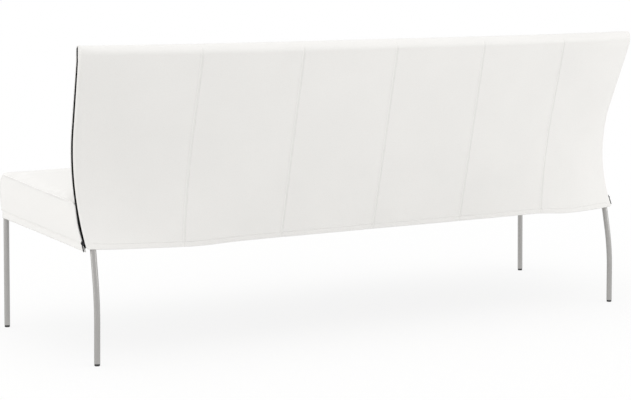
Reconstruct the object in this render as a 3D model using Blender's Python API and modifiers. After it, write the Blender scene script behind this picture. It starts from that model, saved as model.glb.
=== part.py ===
"""Dining sofa with a zipped leather cover, on four slim steel legs.

Metres, +Z up. X runs along the sofa, the front faces -Y, and the floor is Z = 0. Left means +X, the left hand of
someone sitting on it. The back is described by three curves: the side profile of its ends (a bend and a straight
stretch), the leaning middle line of its rear cover, and a fourth-power plan curve that joins the two.
"""
import math

import bmesh
import bpy
import numpy as np
from mathutils import Matrix, Vector

# Clearance between touching pieces, and thickness of the padded leather
GAP = 0.0003
LEATHER = 0.0025

# Back: heights, lean and plan
BACK_HEIGHT = 0.886
HEM_HEIGHT = 0.307
HEM_LIFT = 0.015
BACK_HALF_LENGTH = 0.910
BACK_FLARE = 0.052
REAR_AT_HEM = 0.2261
REAR_LEAN = 0.248
TOP_ROUNDING = 0.028
END_ROUNDING = 0.006
PLAN_POWER = 4
END_SHARPNESS = 64

# Side profile of the back's ends
BEND_RADIUS = 0.352
BEND_HEIGHT = 0.52
BEND_FRONT = 0.1528
BEND_LEAN = math.radians(21.4)
CURL = 0.019
CURL_HEIGHT = 0.056
CURL_POWER = 2.5

# Rear cover: rounded corner beside the zip, and sewn seams
CORNER_DEPTH = 0.014
CORNER_RADIUS = 0.010
SEAM_PITCH = 0.3385 * BACK_HALF_LENGTH
SEAMS_EACH_SIDE = 2
SEAM_DEPTH = 0.0015
SEAM_HALF_WIDTH = 0.006

# Back front: thickness at the ends, rounded nose, lumbar swell
END_THICKNESS = 0.047
NOSE_LENGTH = 0.045
BACK_FOAM = 0.045
LUMBAR_SWELL = 0.016
LUMBAR_HEIGHT = 0.58
LUMBAR_SPREAD = 0.11
CREST_FOAM = 0.012
FOAM_END_HEIGHT = 0.1
CREST_SETBACK = 0.014

# Back frame
FRAME_DEPTH = 0.045
RAIL_DEPTH = 0.028
POST_FRONT = 0.022
POST_INSET = 0.027
POST_WIDTH = 0.028
INNER_POST_X = 0.505 * BACK_HALF_LENGTH
INNER_POST_WIDTH = 0.030
TOP_RAIL_TOP = BACK_HEIGHT - 0.048
TOP_RAIL_HEIGHT = 0.038
LOWER_RAIL_BOTTOM = 0.458
LOWER_RAIL_HEIGHT = 0.030

# Seat
SEAT_FRONT = -0.3597
SEAT_FRONT_HALF = BACK_HALF_LENGTH + 0.058
SEAT_FRONT_ROLL = 0.010
SEAT_ROLL_START = 0.70
SEAT_CORNER = 0.018
SEAT_TOP_CORNER = 0.034
SEAT_TOP_FRONT = 0.477
SEAT_TOP_RAKE = 0.064
SEAT_CROWN = 0.016
LOWER_SEAM_FRONT = 0.361
BASE_RAKE = 0.0426
LIP = 0.021
LIP_TUCK = 0.0015
BORDER_SWELL = 0.003

# Seat frame and suspension
BASE_LIFT = 0.015
SEAT_RAIL_HEIGHT = 0.045
SEAT_RAIL_THICKNESS = 0.028
RAIL_INSET = 0.0095
CROSS_RAIL_X = 0.286 * BACK_HALF_LENGTH
STRAP = 0.002
STRAP_WIDTH = 0.060
STRAP_LANDING = 0.020
SEAT_STRAPS = 6
SEAT_STRAP_PITCH = CROSS_RAIL_X
BACK_STRAP_SHARES = (-0.73, -0.253, 0.0, 0.253, 0.73)
CLOTH = 0.001

# Legs
LEG_DIAMETER = 0.0172
LEG_SPLAY = 0.0065
FRONT_LEG = (SEAT_FRONT_HALF - 0.0135, SEAT_FRONT + 0.0160)
REAR_LEG_INSET = 0.021
REAR_LEG_CLEARANCE = 0.0022
REAR_LEG_BOW = 0.0316
BOW_START = 0.115
BOW_SLOPE = 0.22
GLIDE_HEIGHT = 0.006
GLIDE_DIAMETER = 0.016
GLIDE_CHAMFER = 0.001
PLATE = 0.004
# Left plates: inner edge, outer edge, front edge, rear edge; the rear ones are measured from their leg
FRONT_PLATE = (FRONT_LEG[0] - 0.0525, FRONT_LEG[0] + 0.0055, FRONT_LEG[1] - 0.0055, FRONT_LEG[1] + 0.0505)
FRONT_SCREWS = ((FRONT_LEG[0] - 0.0385, FRONT_LEG[1] + 0.0075), (FRONT_LEG[0] - 0.0125, FRONT_LEG[1] + 0.0365))
REAR_PLATE_REACH = (-0.0560, 0.0050, -0.0447, 0.0043)
REAR_SCREW_REACH = ((-0.0440, -0.0207), (-0.0210, -0.0167))
SCREW_DIAMETER = 0.0045
SCREW_LENGTH = 0.022
SCREW_HEAD = (0.009, 0.0022)

# Zips
ZIP_HALF_WIDTH = 0.005
ZIP_OPENING = 0.0045
ZIP_OPENING_HEIGHT = 0.10
ZIP_BOTTOM = 0.327
ZIP_TOP = BACK_HEIGHT - 0.003
TAPE = 0.0012
TAPE_SINK = 0.001
TEETH_HALF_WIDTH = 0.0026
TEETH_NOTCH = 0.0010
TEETH_HEIGHT = 0.0022
TEETH_PITCH = 0.006
SLIDER_HEIGHT_ON_ZIP = 0.340
SLIDER_LENGTH = 0.014
SLIDER_WALL = 0.0018
SLIDER_CROWN = 0.0016
SLIDER_CLEARANCE = 0.0006
EAR = 0.0014
PIN_DIAMETER = 0.0014
EYE_DIAMETER = 0.0034
EYE_LENGTH = 0.0036
PULL_LENGTH = 0.026
PULL_WIDTH = 0.0064
PULL_THICKNESS = 0.0014

for old in list(bpy.data.objects):
    bpy.data.objects.remove(old, do_unlink=True)

sofa = bpy.data.collections.new("dining_sofa")
bpy.context.scene.collection.children.link(sofa)
cutters = bpy.data.collections.new("cutters")
bpy.context.scene.collection.children.link(cutters)


def material(name, colour, roughness, metallic=0.0):
    """A Principled material with one colour."""
    made = bpy.data.materials.new(name)
    made.use_nodes = True
    shader = made.node_tree.nodes["Principled BSDF"]
    shader.inputs["Base Color"].default_value = (*colour, 1.0)
    shader.inputs["Roughness"].default_value = roughness
    shader.inputs["Metallic"].default_value = metallic
    return made


WHITE_LEATHER = material("white_leather", (0.83, 0.82, 0.80), 0.55)
BEECH = material("beech", (0.62, 0.45, 0.28), 0.6)
FOAM = material("foam", (0.86, 0.83, 0.70), 0.9)
WEBBING = material("webbing", (0.10, 0.10, 0.11), 0.8)
CLOTH_BLACK = material("dust_cloth", (0.03, 0.03, 0.03), 0.9)
STEEL = material("brushed_steel", (0.52, 0.51, 0.49), 0.32, 1.0)
ZINC = material("zinc", (0.60, 0.60, 0.60), 0.4, 1.0)
ZIP_BLACK = material("zip_black", (0.02, 0.02, 0.02), 0.5)
SLIDER_METAL = material("slider_metal", (0.10, 0.10, 0.10), 0.35, 1.0)
GLIDE_BLACK = material("glide_black", (0.02, 0.02, 0.02), 0.6)


def finish(name, bm, look, origin=(0.0, 0.0, 0.0), smooth=True, collection=sofa):
    """Turns a bmesh in world coordinates into an object whose origin lies at the given place."""
    bmesh.ops.recalc_face_normals(bm, faces=bm.faces)
    bmesh.ops.translate(bm, verts=bm.verts, vec=-Vector(origin))
    mesh = bpy.data.meshes.new(name)
    bm.to_mesh(mesh)
    bm.free()
    if smooth:
        mesh.shade_smooth()
        mesh.set_sharp_from_angle(angle=math.radians(35))
    made = bpy.data.objects.new(name, mesh)
    made.location = origin
    if look:
        mesh.materials.append(look)
    collection.objects.link(made)
    return made


def between(name, outer, inner, look, **options):
    """The closed solid between two surfaces given as grids of points with equal rows and columns."""
    outer = np.asarray(outer, float)
    inner = np.asarray(inner, float)
    rows, columns = outer.shape[:2]
    bm = bmesh.new()
    skin = [[bm.verts.new(point) for point in row] for row in outer]
    lining = [[bm.verts.new(point) for point in row] for row in inner]
    for i in range(rows - 1):
        for j in range(columns - 1):
            bm.faces.new((skin[i][j], skin[i][j + 1], skin[i + 1][j + 1], skin[i + 1][j]))
            bm.faces.new((lining[i][j], lining[i + 1][j], lining[i + 1][j + 1], lining[i][j + 1]))
    for i in range(rows - 1):
        for j in (0, columns - 1):
            bm.faces.new((skin[i][j], skin[i + 1][j], lining[i + 1][j], lining[i][j]))
    for j in range(columns - 1):
        for i in (0, rows - 1):
            bm.faces.new((skin[i][j], lining[i][j], lining[i][j + 1], skin[i][j + 1]))
    return finish(name, bm, look, **options)


def cut(target, cutter):
    """Cuts one object out of another, and keeps the cutter as a hidden wire guide."""
    cutter.hide_render = True
    cutter.display_type = "WIRE"
    step = target.modifiers.new("cut", "BOOLEAN")
    step.operation = "DIFFERENCE"
    step.object = cutter


def join(target, other):
    """Joins a second shape to an object as one body."""
    other.hide_render = True
    other.display_type = "WIRE"
    step = target.modifiers.new("join", "BOOLEAN")
    step.operation = "UNION"
    step.object = other


def rod(name, start, end, diameter, look=None, sides=16, collection=cutters, origin=(0.0, 0.0, 0.0)):
    """A straight round bar between two points."""
    start = Vector(start)
    axis = Vector(end) - start
    bm = bmesh.new()
    place = Matrix.Translation(start + axis / 2) @ axis.to_track_quat("Z", "Y").to_matrix().to_4x4()
    bmesh.ops.create_cone(bm, cap_ends=True, segments=sides, radius1=diameter / 2, radius2=diameter / 2,
                          depth=axis.length, matrix=place)
    return finish(name, bm, look, origin=origin, collection=collection)


def block(name, centre, axes, sizes, look=None, collection=cutters, origin=(0.0, 0.0, 0.0)):
    """A box with given centre, axes and sizes."""
    bm = bmesh.new()
    frame = Matrix([[*axes[0]], [*axes[1]], [*axes[2]]]).transposed().to_4x4()
    place = Matrix.Translation(centre) @ frame @ Matrix.Diagonal((*sizes, 1.0))
    bmesh.ops.create_cube(bm, size=1.0, matrix=place)
    return finish(name, bm, look, origin=origin, smooth=False, collection=collection)


# The curves that shape the back
FLARE_LENGTH = math.sqrt(1 + BACK_FLARE ** 2)
ROUNDING_START = BACK_HEIGHT - TOP_ROUNDING


def end_x(z):
    """Half length of the back at a height: its ends flare upwards and round in a little at the top."""
    into = np.clip((np.asarray(z) - ROUNDING_START) / TOP_ROUNDING, 0, 1)
    rounding = END_ROUNDING * (1 - np.sqrt(1 - into ** 2))
    return BACK_HALF_LENGTH + BACK_FLARE * (np.asarray(z) - HEM_HEIGHT) - rounding


def end_y(z):
    """Side profile of the ends: a circular bend, a straight stretch leaning back, a forward curl at the top."""
    rise = (np.asarray(z) - BEND_HEIGHT) * FLARE_LENGTH
    bend_rise = BEND_RADIUS * math.sin(BEND_LEAN)
    on_bend = np.minimum(rise, bend_rise)
    bend = BEND_RADIUS - np.sqrt(BEND_RADIUS ** 2 - on_bend ** 2)
    curled = np.maximum((np.asarray(z) - BACK_HEIGHT + CURL_HEIGHT) / CURL_HEIGHT, 0) ** CURL_POWER
    return BEND_FRONT + bend + np.maximum(rise - bend_rise, 0) * math.tan(BEND_LEAN) - CURL * curled


def profile_slope(z):
    """Slope of the side profile at a height."""
    step = 1e-4
    return float(end_y(z + step) - end_y(z - step)) / (2 * step * FLARE_LENGTH)


def middle_y(z):
    """Rear cover at mid length: a straight line leaning back."""
    return REAR_AT_HEM + REAR_LEAN * (np.asarray(z) - HEM_HEIGHT)


def plan_blend(share):
    """Plan curve from 0 at mid length to 1 at the ends."""
    return np.minimum(np.abs(share), 1.0) ** PLAN_POWER


def rear_y(x, z, inset=0.0):
    """Outer face of the rear cover, with its rounded corners and seam grooves, or a face parallel to it inside."""
    straight = end_x(z) - CORNER_RADIUS
    wrap = middle_y(z) - end_y(z) - CORNER_DEPTH
    flat = middle_y(z) - wrap * plan_blend(x / straight) - inset
    into = np.clip((np.abs(x) - straight) / (CORNER_RADIUS - inset), 0, 1)
    drop = (CORNER_DEPTH - ZIP_HALF_WIDTH - inset) * (1 - np.sqrt(1 - into ** 2))
    seams = np.arange(-SEAMS_EACH_SIDE, SEAMS_EACH_SIDE + 1) * SEAM_PITCH
    near = np.min(np.abs(np.asarray(x)[..., None] - seams), axis=-1)
    return flat - drop - SEAM_DEPTH * np.clip(1 - near / SEAM_HALF_WIDTH, 0, 1)


def foam_rear_y(x, z):
    """Rear face of the back foam, against the straps and the end posts."""
    strap_line = middle_y(z) - FRAME_DEPTH
    at_end = end_y(z) - POST_FRONT - 3 * GAP
    return strap_line - (strap_line - at_end) * plan_blend(x / (end_x(z) - POST_INSET - POST_WIDTH))


def frame_y(x, z):
    """Front face of the back's rails and inner posts, one strap behind the foam."""
    return foam_rear_y(x, z) + STRAP + 4 * GAP


def front_y(x, z, inset=0.0):
    """Outer face of the back's front cover, with its nose at the ends, or a face parallel to it inside."""
    nose_start = end_x(z) - NOSE_LENGTH
    swell = LUMBAR_SWELL * np.exp(-((z - LUMBAR_HEIGHT) / LUMBAR_SPREAD) ** 2)
    middle = middle_y(z) - FRAME_DEPTH - GAP - BACK_FOAM - LEATHER - swell
    at_end = end_y(z) - END_THICKNESS
    flat = middle - (middle - at_end) * plan_blend(x / nose_start)
    into = np.clip((np.abs(x) - nose_start) / (NOSE_LENGTH - inset), 0, 1)
    nose = (END_THICKNESS - ZIP_HALF_WIDTH - GAP - inset) * (1 - np.sqrt(1 - into ** 2))
    return flat + inset + nose


def rounded_top(columns, angle, side, inset, end_height=1.0):
    """Row of the rounded top edge at an angle from the side face (0) to the crest (a right angle).

    A cover's end edge keeps beside the zip, which runs up to the crest. end_height is the share of the rounded
    edge's height that is left at its very ends.
    """
    x = columns(ROUNDING_START)
    z = np.full_like(x, ROUNDING_START)
    middle = (rear_y(x, z) + front_y(x, z)) / 2
    reach = (rear_y(x, z) if side > 0 else front_y(x, z)) - middle
    at_end = (np.abs(x) / end_x(z)) ** END_SHARPNESS
    height = TOP_ROUNDING * math.sin(angle) * (1 - (1 - end_height) * at_end)
    dome = middle + reach * math.cos(angle) + REAR_LEAN * height + side * GAP
    beside_zip = end_y(z + height) + side * (ZIP_HALF_WIDTH + GAP)
    y = dome + at_end * (beside_zip - dome)
    x = x * end_x(z + height) / end_x(z)
    if inset > 0:
        moved_in = np.abs(columns(ROUNDING_START)) - np.abs(columns(ROUNDING_START, inset))
        y = y - side * np.sqrt(np.maximum(inset ** 2 - moved_in ** 2, 0)) * math.cos(angle)
        x = x - np.sign(x) * moved_in
        height = height - inset * math.sin(angle) * (1 - at_end)
    return np.stack([x, y, z + height], axis=-1)


def arc_shares(count):
    """Shares of a quarter round, from its start to its end, evenly spaced in angle."""
    return np.sin(np.linspace(0, math.pi / 2, count + 1))[1:]


def mirrored(half):
    """Columns from -X to +X, from those of the +X half, which start at the middle."""
    half = np.asarray(half)
    return np.concatenate([-half[:0:-1], half])


TOP_ANGLES = np.radians([15, 30, 48, 66, 85])


def rear_columns(z, inset=0.0):
    """Columns of the rear cover: at and beside each seam, between seams, and round the corner."""
    half = [0.0, SEAM_HALF_WIDTH]
    for seam in range(1, SEAMS_EACH_SIDE + 1):
        at = seam * SEAM_PITCH
        half += [at - SEAM_PITCH / 2, at - SEAM_HALF_WIDTH, at, at + SEAM_HALF_WIDTH]
    start = half[-1]
    straight = end_x(z) - CORNER_RADIUS
    half += list(start + (straight - start) * np.array([0.3, 0.6, 0.85, 1.0]))
    half += list(straight + (CORNER_RADIUS - inset) * arc_shares(3))
    return mirrored(half)


REAR_ROWS = np.concatenate([np.linspace(0, 0.9, 11), [0.95, 0.97, 0.985, 1.0]])


def rear_cover():
    """Leather over the back of the sofa, from its hem over the top edge to the crest, sewn from six panels."""
    def face(inset):
        rows = []
        for share in REAR_ROWS:
            x = rear_columns(HEM_HEIGHT + share * (ROUNDING_START - HEM_HEIGHT), inset)
            hem = HEM_HEIGHT + HEM_LIFT * np.abs(x / x[-1]) ** (PLAN_POWER + 2)
            z = hem + share * (ROUNDING_START - hem)
            rows.append(np.stack([x, rear_y(x, z, inset), z], axis=-1))
        rows += [rounded_top(rear_columns, angle, 1, inset) for angle in TOP_ANGLES]
        return np.array(rows)
    between("rear_cover", face(0.0), face(LEATHER), WHITE_LEATHER)


def seat_top_z(y):
    """Height of the seat's upper seam, which falls towards the back."""
    return SEAT_TOP_FRONT - SEAT_TOP_RAKE * (np.asarray(y) - SEAT_FRONT)


def base_z(y):
    """Underside of the seat frame."""
    return LOWER_SEAM_FRONT - LIP + BASE_LIFT - BASE_RAKE * (np.asarray(y) - SEAT_FRONT)


# The rear legs stand just inside the rear cover, with a corner of their plate nearest to it
REAR_LEG_X = BACK_HALF_LENGTH - REAR_LEG_INSET
BESIDE_PLATE = [rear_y(REAR_LEG_X + np.array(REAR_PLATE_REACH[:2]), base_z(REAR_AT_HEM) - drop, LEATHER)
                for drop in (0.0, PLATE)]
REAR_LEG = (REAR_LEG_X, float(np.min(BESIDE_PLATE)) - REAR_LEG_CLEARANCE - REAR_PLATE_REACH[3])
REAR_PLATE = tuple(REAR_LEG[i // 2] + reach for i, reach in enumerate(REAR_PLATE_REACH))
REAR_SCREWS = tuple((REAR_LEG[0] + x, REAR_LEG[1] + y) for x, y in REAR_SCREW_REACH)


def front_columns(z, inset=0.0):
    """Columns of the back's front: evenly along the middle, then round the nose."""
    nose_start = end_x(z) - NOSE_LENGTH
    beside_post = 1 - (POST_WIDTH + 2 * GAP) / (end_x(z) - POST_INSET)
    half = list(nose_start * beside_post * np.array([0.0, 0.18, 0.35, 0.5, 0.63, 0.74, 0.82, 0.89, 0.95, 1.0]))
    half.append(nose_start)
    half += list(nose_start + (NOSE_LENGTH - inset) * arc_shares(5))
    return mirrored(half)


FRONT_ROWS = np.linspace(0, 1, 13)


def pad_row(share, inset):
    """A row of the back's front from the seat (0) to the start of the rounded top (1)."""
    start = float(seat_top_z(BEND_FRONT))
    x = front_columns(start + share * (ROUNDING_START - start), inset)
    z = np.full_like(x, start)
    for _ in range(4):
        z = seat_top_z(front_y(x, z)) + GAP
    z = z + share * (ROUNDING_START - z)
    return np.stack([x, front_y(x, z, inset), z], axis=-1)


def front_cover():
    """Leather over the front of the back, from the seat over the top edge to the crest."""
    outer = [pad_row(share, 0.0) for share in FRONT_ROWS]
    outer += [rounded_top(front_columns, angle, -1, 0.0) for angle in TOP_ANGLES]
    outer = np.array(outer)
    normal = np.cross(np.gradient(outer, axis=1), np.gradient(outer, axis=0))
    inner = outer - LEATHER * normal / np.linalg.norm(normal, axis=-1, keepdims=True)
    inner[:, [0, -1], 1] = outer[:, [0, -1], 1]
    inner[:len(FRONT_ROWS)] = [pad_row(share, LEATHER) for share in FRONT_ROWS]
    between("back_front_cover", outer, inner, WHITE_LEATHER)


def back_foam():
    """Foam of the back: a layer in front of the straps that wraps round the end posts and over the top rail."""
    inset = LEATHER + 3 * GAP
    outer = [pad_row(share, inset) for share in FRONT_ROWS]
    outer += [rounded_top(front_columns, angle, -1, inset, FOAM_END_HEIGHT) for angle in TOP_ANGLES]
    outer = np.array(outer)
    inner = outer.copy()
    rail_clear = TOP_RAIL_TOP + GAP
    for i, row in enumerate(outer):
        straight = i < len(FRONT_ROWS)
        start = outer[0][:, 2]
        z = start + FRONT_ROWS[i] * (rail_clear - start) if straight else np.full(len(row), rail_clear)
        nose_start = end_x(z) - NOSE_LENGTH
        nose = np.clip((np.abs(row[:, 0]) - nose_start) / (NOSE_LENGTH - inset), 0, 1)
        limit = end_x(z) - POST_INSET + GAP
        side = np.minimum(np.abs(row[:, 0]) / nose_start, 1) * limit
        y = foam_rear_y(side, z)
        y = y + (end_y(z) - ZIP_HALF_WIDTH - GAP - y) * (1 - np.sqrt(1 - nose ** 2))
        inner[i] = np.stack([np.sign(row[:, 0]) * side, y, z], axis=-1)
        if not straight:
            share = (i - len(FRONT_ROWS) + 1) / len(TOP_ANGLES)
            under_crest = outer[-1] - np.array([0.0, 0.0, CREST_FOAM])
            under_crest[:, 0] -= np.clip(outer[-1][:, 0], -CREST_SETBACK, CREST_SETBACK)
            inner[i] += share * (under_crest - inner[i])
    between("back_foam", outer, inner, FOAM)


def curved_rail(name, bottom, top):
    """A rail of the back frame between the end posts, bowed in plan like the back."""
    shares = np.linspace(-1, 1, 33)

    def face(depth):
        rows = []
        for z in (bottom, top):
            x = shares * (end_x(z) - POST_INSET - POST_WIDTH - GAP)
            rows.append(np.stack([x, frame_y(x, z) + depth, np.full_like(x, z)], axis=-1))
        return np.array(rows)
    between(name, face(RAIL_DEPTH), face(0.0), BEECH)


def end_frame(z):
    """Base point and the three axes of an end's plane at a height, on the left end: up along the profile,
    rearwards across it, and outwards."""
    tilt = Vector((BACK_FLARE, 0.0, 1.0)).normalized()
    out = Vector((1.0, 0.0, -BACK_FLARE)).normalized()
    slope = profile_slope(z)
    up = (tilt + slope * Vector((0.0, 1.0, 0.0))).normalized()
    back = (Vector((0.0, 1.0, 0.0)) - slope * tilt).normalized()
    return Vector((float(end_x(z)), float(end_y(z)), z)), up, back, out


def end_point(side, z, back_offset, out_offset):
    """A point beside an end's profile. side is 1 at the left end and -1 at the right."""
    base, _, back, out = end_frame(z)
    point = base + back_offset * back + out_offset * out
    return side * point.x, point.y, point.z


def profile_strip(name, side, heights, front, rear, inner, outer, look):
    """A strip that follows an end's profile, between two offsets across it and two offsets outwards."""
    front = np.broadcast_to(front, len(heights))
    rear = np.broadcast_to(rear, len(heights))

    def face(offset):
        return [[end_point(side, z, a, offset), end_point(side, z, b, offset)]
                for z, a, b in zip(heights.tolist(), front.tolist(), rear.tolist())]
    between(name, face(outer), face(inner), look)


def back_frame():
    """Bent end posts, inner posts and the two curved rails of the back, with the straps that carry its foam."""
    post_bottom = float(base_z(REAR_PLATE[2]))
    for side, hand in ((1, "left"), (-1, "right")):
        heights = np.linspace(post_bottom, TOP_RAIL_TOP, 17)

        def flank(inset):
            return [[(side * float(end_x(z) - inset), float(end_y(z)) + offset, z)
                     for offset in (-POST_FRONT, RAIL_DEPTH - POST_FRONT)] for z in heights]
        between(f"end_post_{hand}", flank(POST_INSET), flank(POST_INSET + POST_WIDTH), BEECH)
    top_rail_bottom = TOP_RAIL_TOP - TOP_RAIL_HEIGHT
    lower_rail_top = LOWER_RAIL_BOTTOM + LOWER_RAIL_HEIGHT
    curved_rail("top_rail", top_rail_bottom, TOP_RAIL_TOP)
    curved_rail("back_lower_rail", LOWER_RAIL_BOTTOM, lower_rail_top)
    for side, hand in ((1, "left"), (-1, "right")):
        x = side * INNER_POST_X + INNER_POST_WIDTH / 2 * np.array([-1.0, 1.0])

        def face(depth):
            return [[(a, float(frame_y(a, z)) + depth, z) for a in x]
                    for z in np.linspace(lower_rail_top + GAP, top_rail_bottom - GAP, 7)]
        between(f"inner_post_{hand}", face(RAIL_DEPTH), face(0.0), BEECH)
    for number, share in enumerate(BACK_STRAP_SHARES, 1):
        x = share * BACK_HALF_LENGTH + STRAP_WIDTH / 2 * np.array([-1.0, 0.0, 1.0])

        def layer(depth):
            return [[(a, float(foam_rear_y(a, z)) + depth, z) for a in x]
                    for z in np.linspace(LOWER_RAIL_BOTTOM, TOP_RAIL_TOP, 13)]
        between(f"back_strap_{number}", layer(GAP + STRAP), layer(GAP), WEBBING)


def zip_opening(z):
    """How much further the seat's border keeps from the zip near its lower end, where the zip opens."""
    share = np.clip((ZIP_BOTTOM + ZIP_OPENING_HEIGHT - np.asarray(z)) / ZIP_OPENING_HEIGHT, 0, 1)
    return ZIP_OPENING * share ** 2 * (3 - 2 * share)


def rolled(height_share):
    """How far the seat's front edge has rolled over at a share of the border's height, from 0 to 1 at the seam."""
    into = np.clip((height_share - SEAT_ROLL_START) / (1 - SEAT_ROLL_START), 0, 1)
    return 1 - math.sqrt(1 - into ** 2)


def front_corner(height_share):
    """Radius and left centre of the seat's front corners at a share of the border's height."""
    radius = SEAT_CORNER + (SEAT_TOP_CORNER - SEAT_CORNER) * rolled(height_share)
    front = SEAT_FRONT + SEAT_FRONT_ROLL * rolled(height_share)
    return radius, np.array([SEAT_FRONT_HALF - radius, front + radius])


def side_line(height_share):
    """Plan of the seat's left end at a share of the border's height: the end of its corner, and its zip point."""
    rear_y_at = BEND_FRONT
    for _ in range(6):
        z = float(border_z(rear_y_at, height_share))
        beside_zip = ZIP_HALF_WIDTH + float(zip_opening(z)) + GAP
        rear_y_at = float(end_y(z)) - beside_zip * math.hypot(1, profile_slope(z))
    _, centre = front_corner(height_share)
    return np.array([SEAT_FRONT_HALF, centre[1]]), np.array([float(end_x(z)), rear_y_at])


def side_x(y, height_share=1.0):
    """Half width of the seat at a depth."""
    front, rear = side_line(height_share)
    along = np.maximum((np.asarray(y) - front[1]) / (rear[1] - front[1]), 0)
    return front[0] + (rear[0] - front[0]) * along


BORDER_SHARES = (0.4, 0.6, SEAT_ROLL_START, 0.80, 0.88, 0.94, 0.98, 1.0)


def border_offset(share):
    """Swell of a border panel across its height: tucked under at the lip, drawn in at both seams."""
    seam_share = LIP / (SEAT_TOP_FRONT - LOWER_SEAM_FRONT + LIP)
    lip = -LIP_TUCK * (1 - share / seam_share) ** 2
    panel = BORDER_SWELL * math.sin(math.pi * np.clip((share - seam_share) / (1 - seam_share), 0, 1)) ** 0.7
    return lip if share < seam_share else panel


def border_z(y, share):
    """Height of a border at a depth and a share of its height, kept below the top panel."""
    low = LOWER_SEAM_FRONT - LIP - BASE_RAKE * (np.asarray(y) - SEAT_FRONT)
    return low + share * (seat_top_z(y) - LEATHER - GAP - low)


def seat_borders():
    """Leather borders round the seat: one across the front and round its corners, and one at each end."""
    seam_share = LIP / (SEAT_TOP_FRONT - LOWER_SEAM_FRONT + LIP)
    shares = [0.0, seam_share / 2, seam_share, seam_share + 0.06, *BORDER_SHARES]

    def front_face(inset):
        turn = np.linspace(0, math.pi / 2, 6)
        rows = []
        for share in shares:
            corner, centre = front_corner(share)
            radius = corner + border_offset(share) - inset
            half = [np.array([x, centre[1] - radius]) for x in np.linspace(0, centre[0], 5)]
            half += [centre + radius * np.array([math.sin(a), -math.cos(a)]) for a in turn[1:]]
            half = np.array(half)
            left = half[:0:-1] * np.array([-1, 1])
            plan = np.concatenate([left, half])
            rows.append(np.column_stack([plan, border_z(plan[:, 1], share)]))
        return np.array(rows)
    between("seat_front_border", front_face(0.0), front_face(LEATHER), WHITE_LEATHER)
    for side, hand in ((1, "left"), (-1, "right")):
        def end_face(inset):
            rows = []
            for share in shares:
                front, rear = side_line(share)
                start = front + np.array([0.0, GAP])
                swell = border_offset(share)
                along = np.linspace(0, 1, 8)[:, None]
                fade = 1 - along[:, 0] ** 6
                plan = start + (rear - start) * along
                plan[:, 0] += swell * fade - inset
                rows.append(np.column_stack([side * plan[:, 0], plan[:, 1], border_z(plan[:, 1], share)]))
            return np.array(rows)
        between(f"seat_end_border_{hand}", end_face(0.0), end_face(LEATHER), WHITE_LEATHER)


def seat_rear_line(x):
    """Where the seat's foam and top panel end, in front of the back frame."""
    low = float(base_z(BEND_FRONT)) + SEAT_RAIL_HEIGHT
    high = float(seat_top_z(BEND_FRONT))
    return np.minimum(foam_rear_y(x, low), foam_rear_y(x, high)) - GAP


def seat_surface(inset, drop):
    """The crowned seat surface as a grid, front to back, moved in from the edge and down."""
    seat_height = float(seat_top_z(BEND_FRONT))
    beside_post = 1 - (POST_INSET + POST_WIDTH + 2 * GAP) / float(end_x(seat_height))
    across = mirrored([0.0, 0.25, 0.5, 0.7, 0.82, beside_post, (1 + beside_post) / 2, 1.0])
    depths = [0.0, 0.004, 0.014, 0.031, 0.055, 0.12, 0.24, 0.4, 0.57, 0.74, 0.88, 0.96, 1.0]
    reach = across * (end_x(seat_height) - LEATHER)
    meet = front_y(reach, np.full_like(reach, seat_height)) - LEATHER
    corner, centre = front_corner(1.0)
    radius = corner - inset
    start = centre[1] - radius
    rows = []
    for depth in depths + [None]:
        y = np.maximum(seat_rear_line(reach), meet + CLOTH) if depth is None else start + (meet - start) * depth
        y = np.maximum(y, start)
        into = np.clip((centre[1] - y) / radius, 0, 1)
        side = side_x(y) if inset == 0 else np.minimum(side_x(y), side_x(y, 0.0))
        x = across * (side - inset - radius * (1 - np.sqrt(1 - into ** 2)))
        crown = 0.0 if depth is None else SEAT_CROWN * (1 - (2 * depth - 1) ** 4)
        z = seat_top_z(y) + crown * (1 - np.abs(across) ** 6) - drop
        rows.append(np.stack([x, y, z], axis=-1))
    return np.array(rows)


def seat_cushion():
    """The seat's crowned leather top panel, and the foam under it."""
    between("seat_top_panel", seat_surface(0.0, 0.0), seat_surface(0.0, LEATHER), WHITE_LEATHER)
    foam_top = seat_surface(LEATHER + GAP, LEATHER + GAP)
    foam_bottom = foam_top.copy()
    foam_bottom[:, :, 2] = base_z(foam_top[:, :, 1]) + SEAT_RAIL_HEIGHT + STRAP + 2 * GAP
    between("seat_foam", foam_top, foam_bottom, FOAM)


def board(name, corners, look, lift=0.0, height=SEAT_RAIL_HEIGHT):
    """A board on the seat's raked base plane, from four plan corners given as two rows of two."""
    plan = np.asarray(corners, float)
    low = np.concatenate([plan, (base_z(plan[..., 1]) + lift)[..., None]], axis=-1)
    high = low + np.array([0.0, 0.0, height])
    return between(name, high, low, look, smooth=False)


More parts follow.
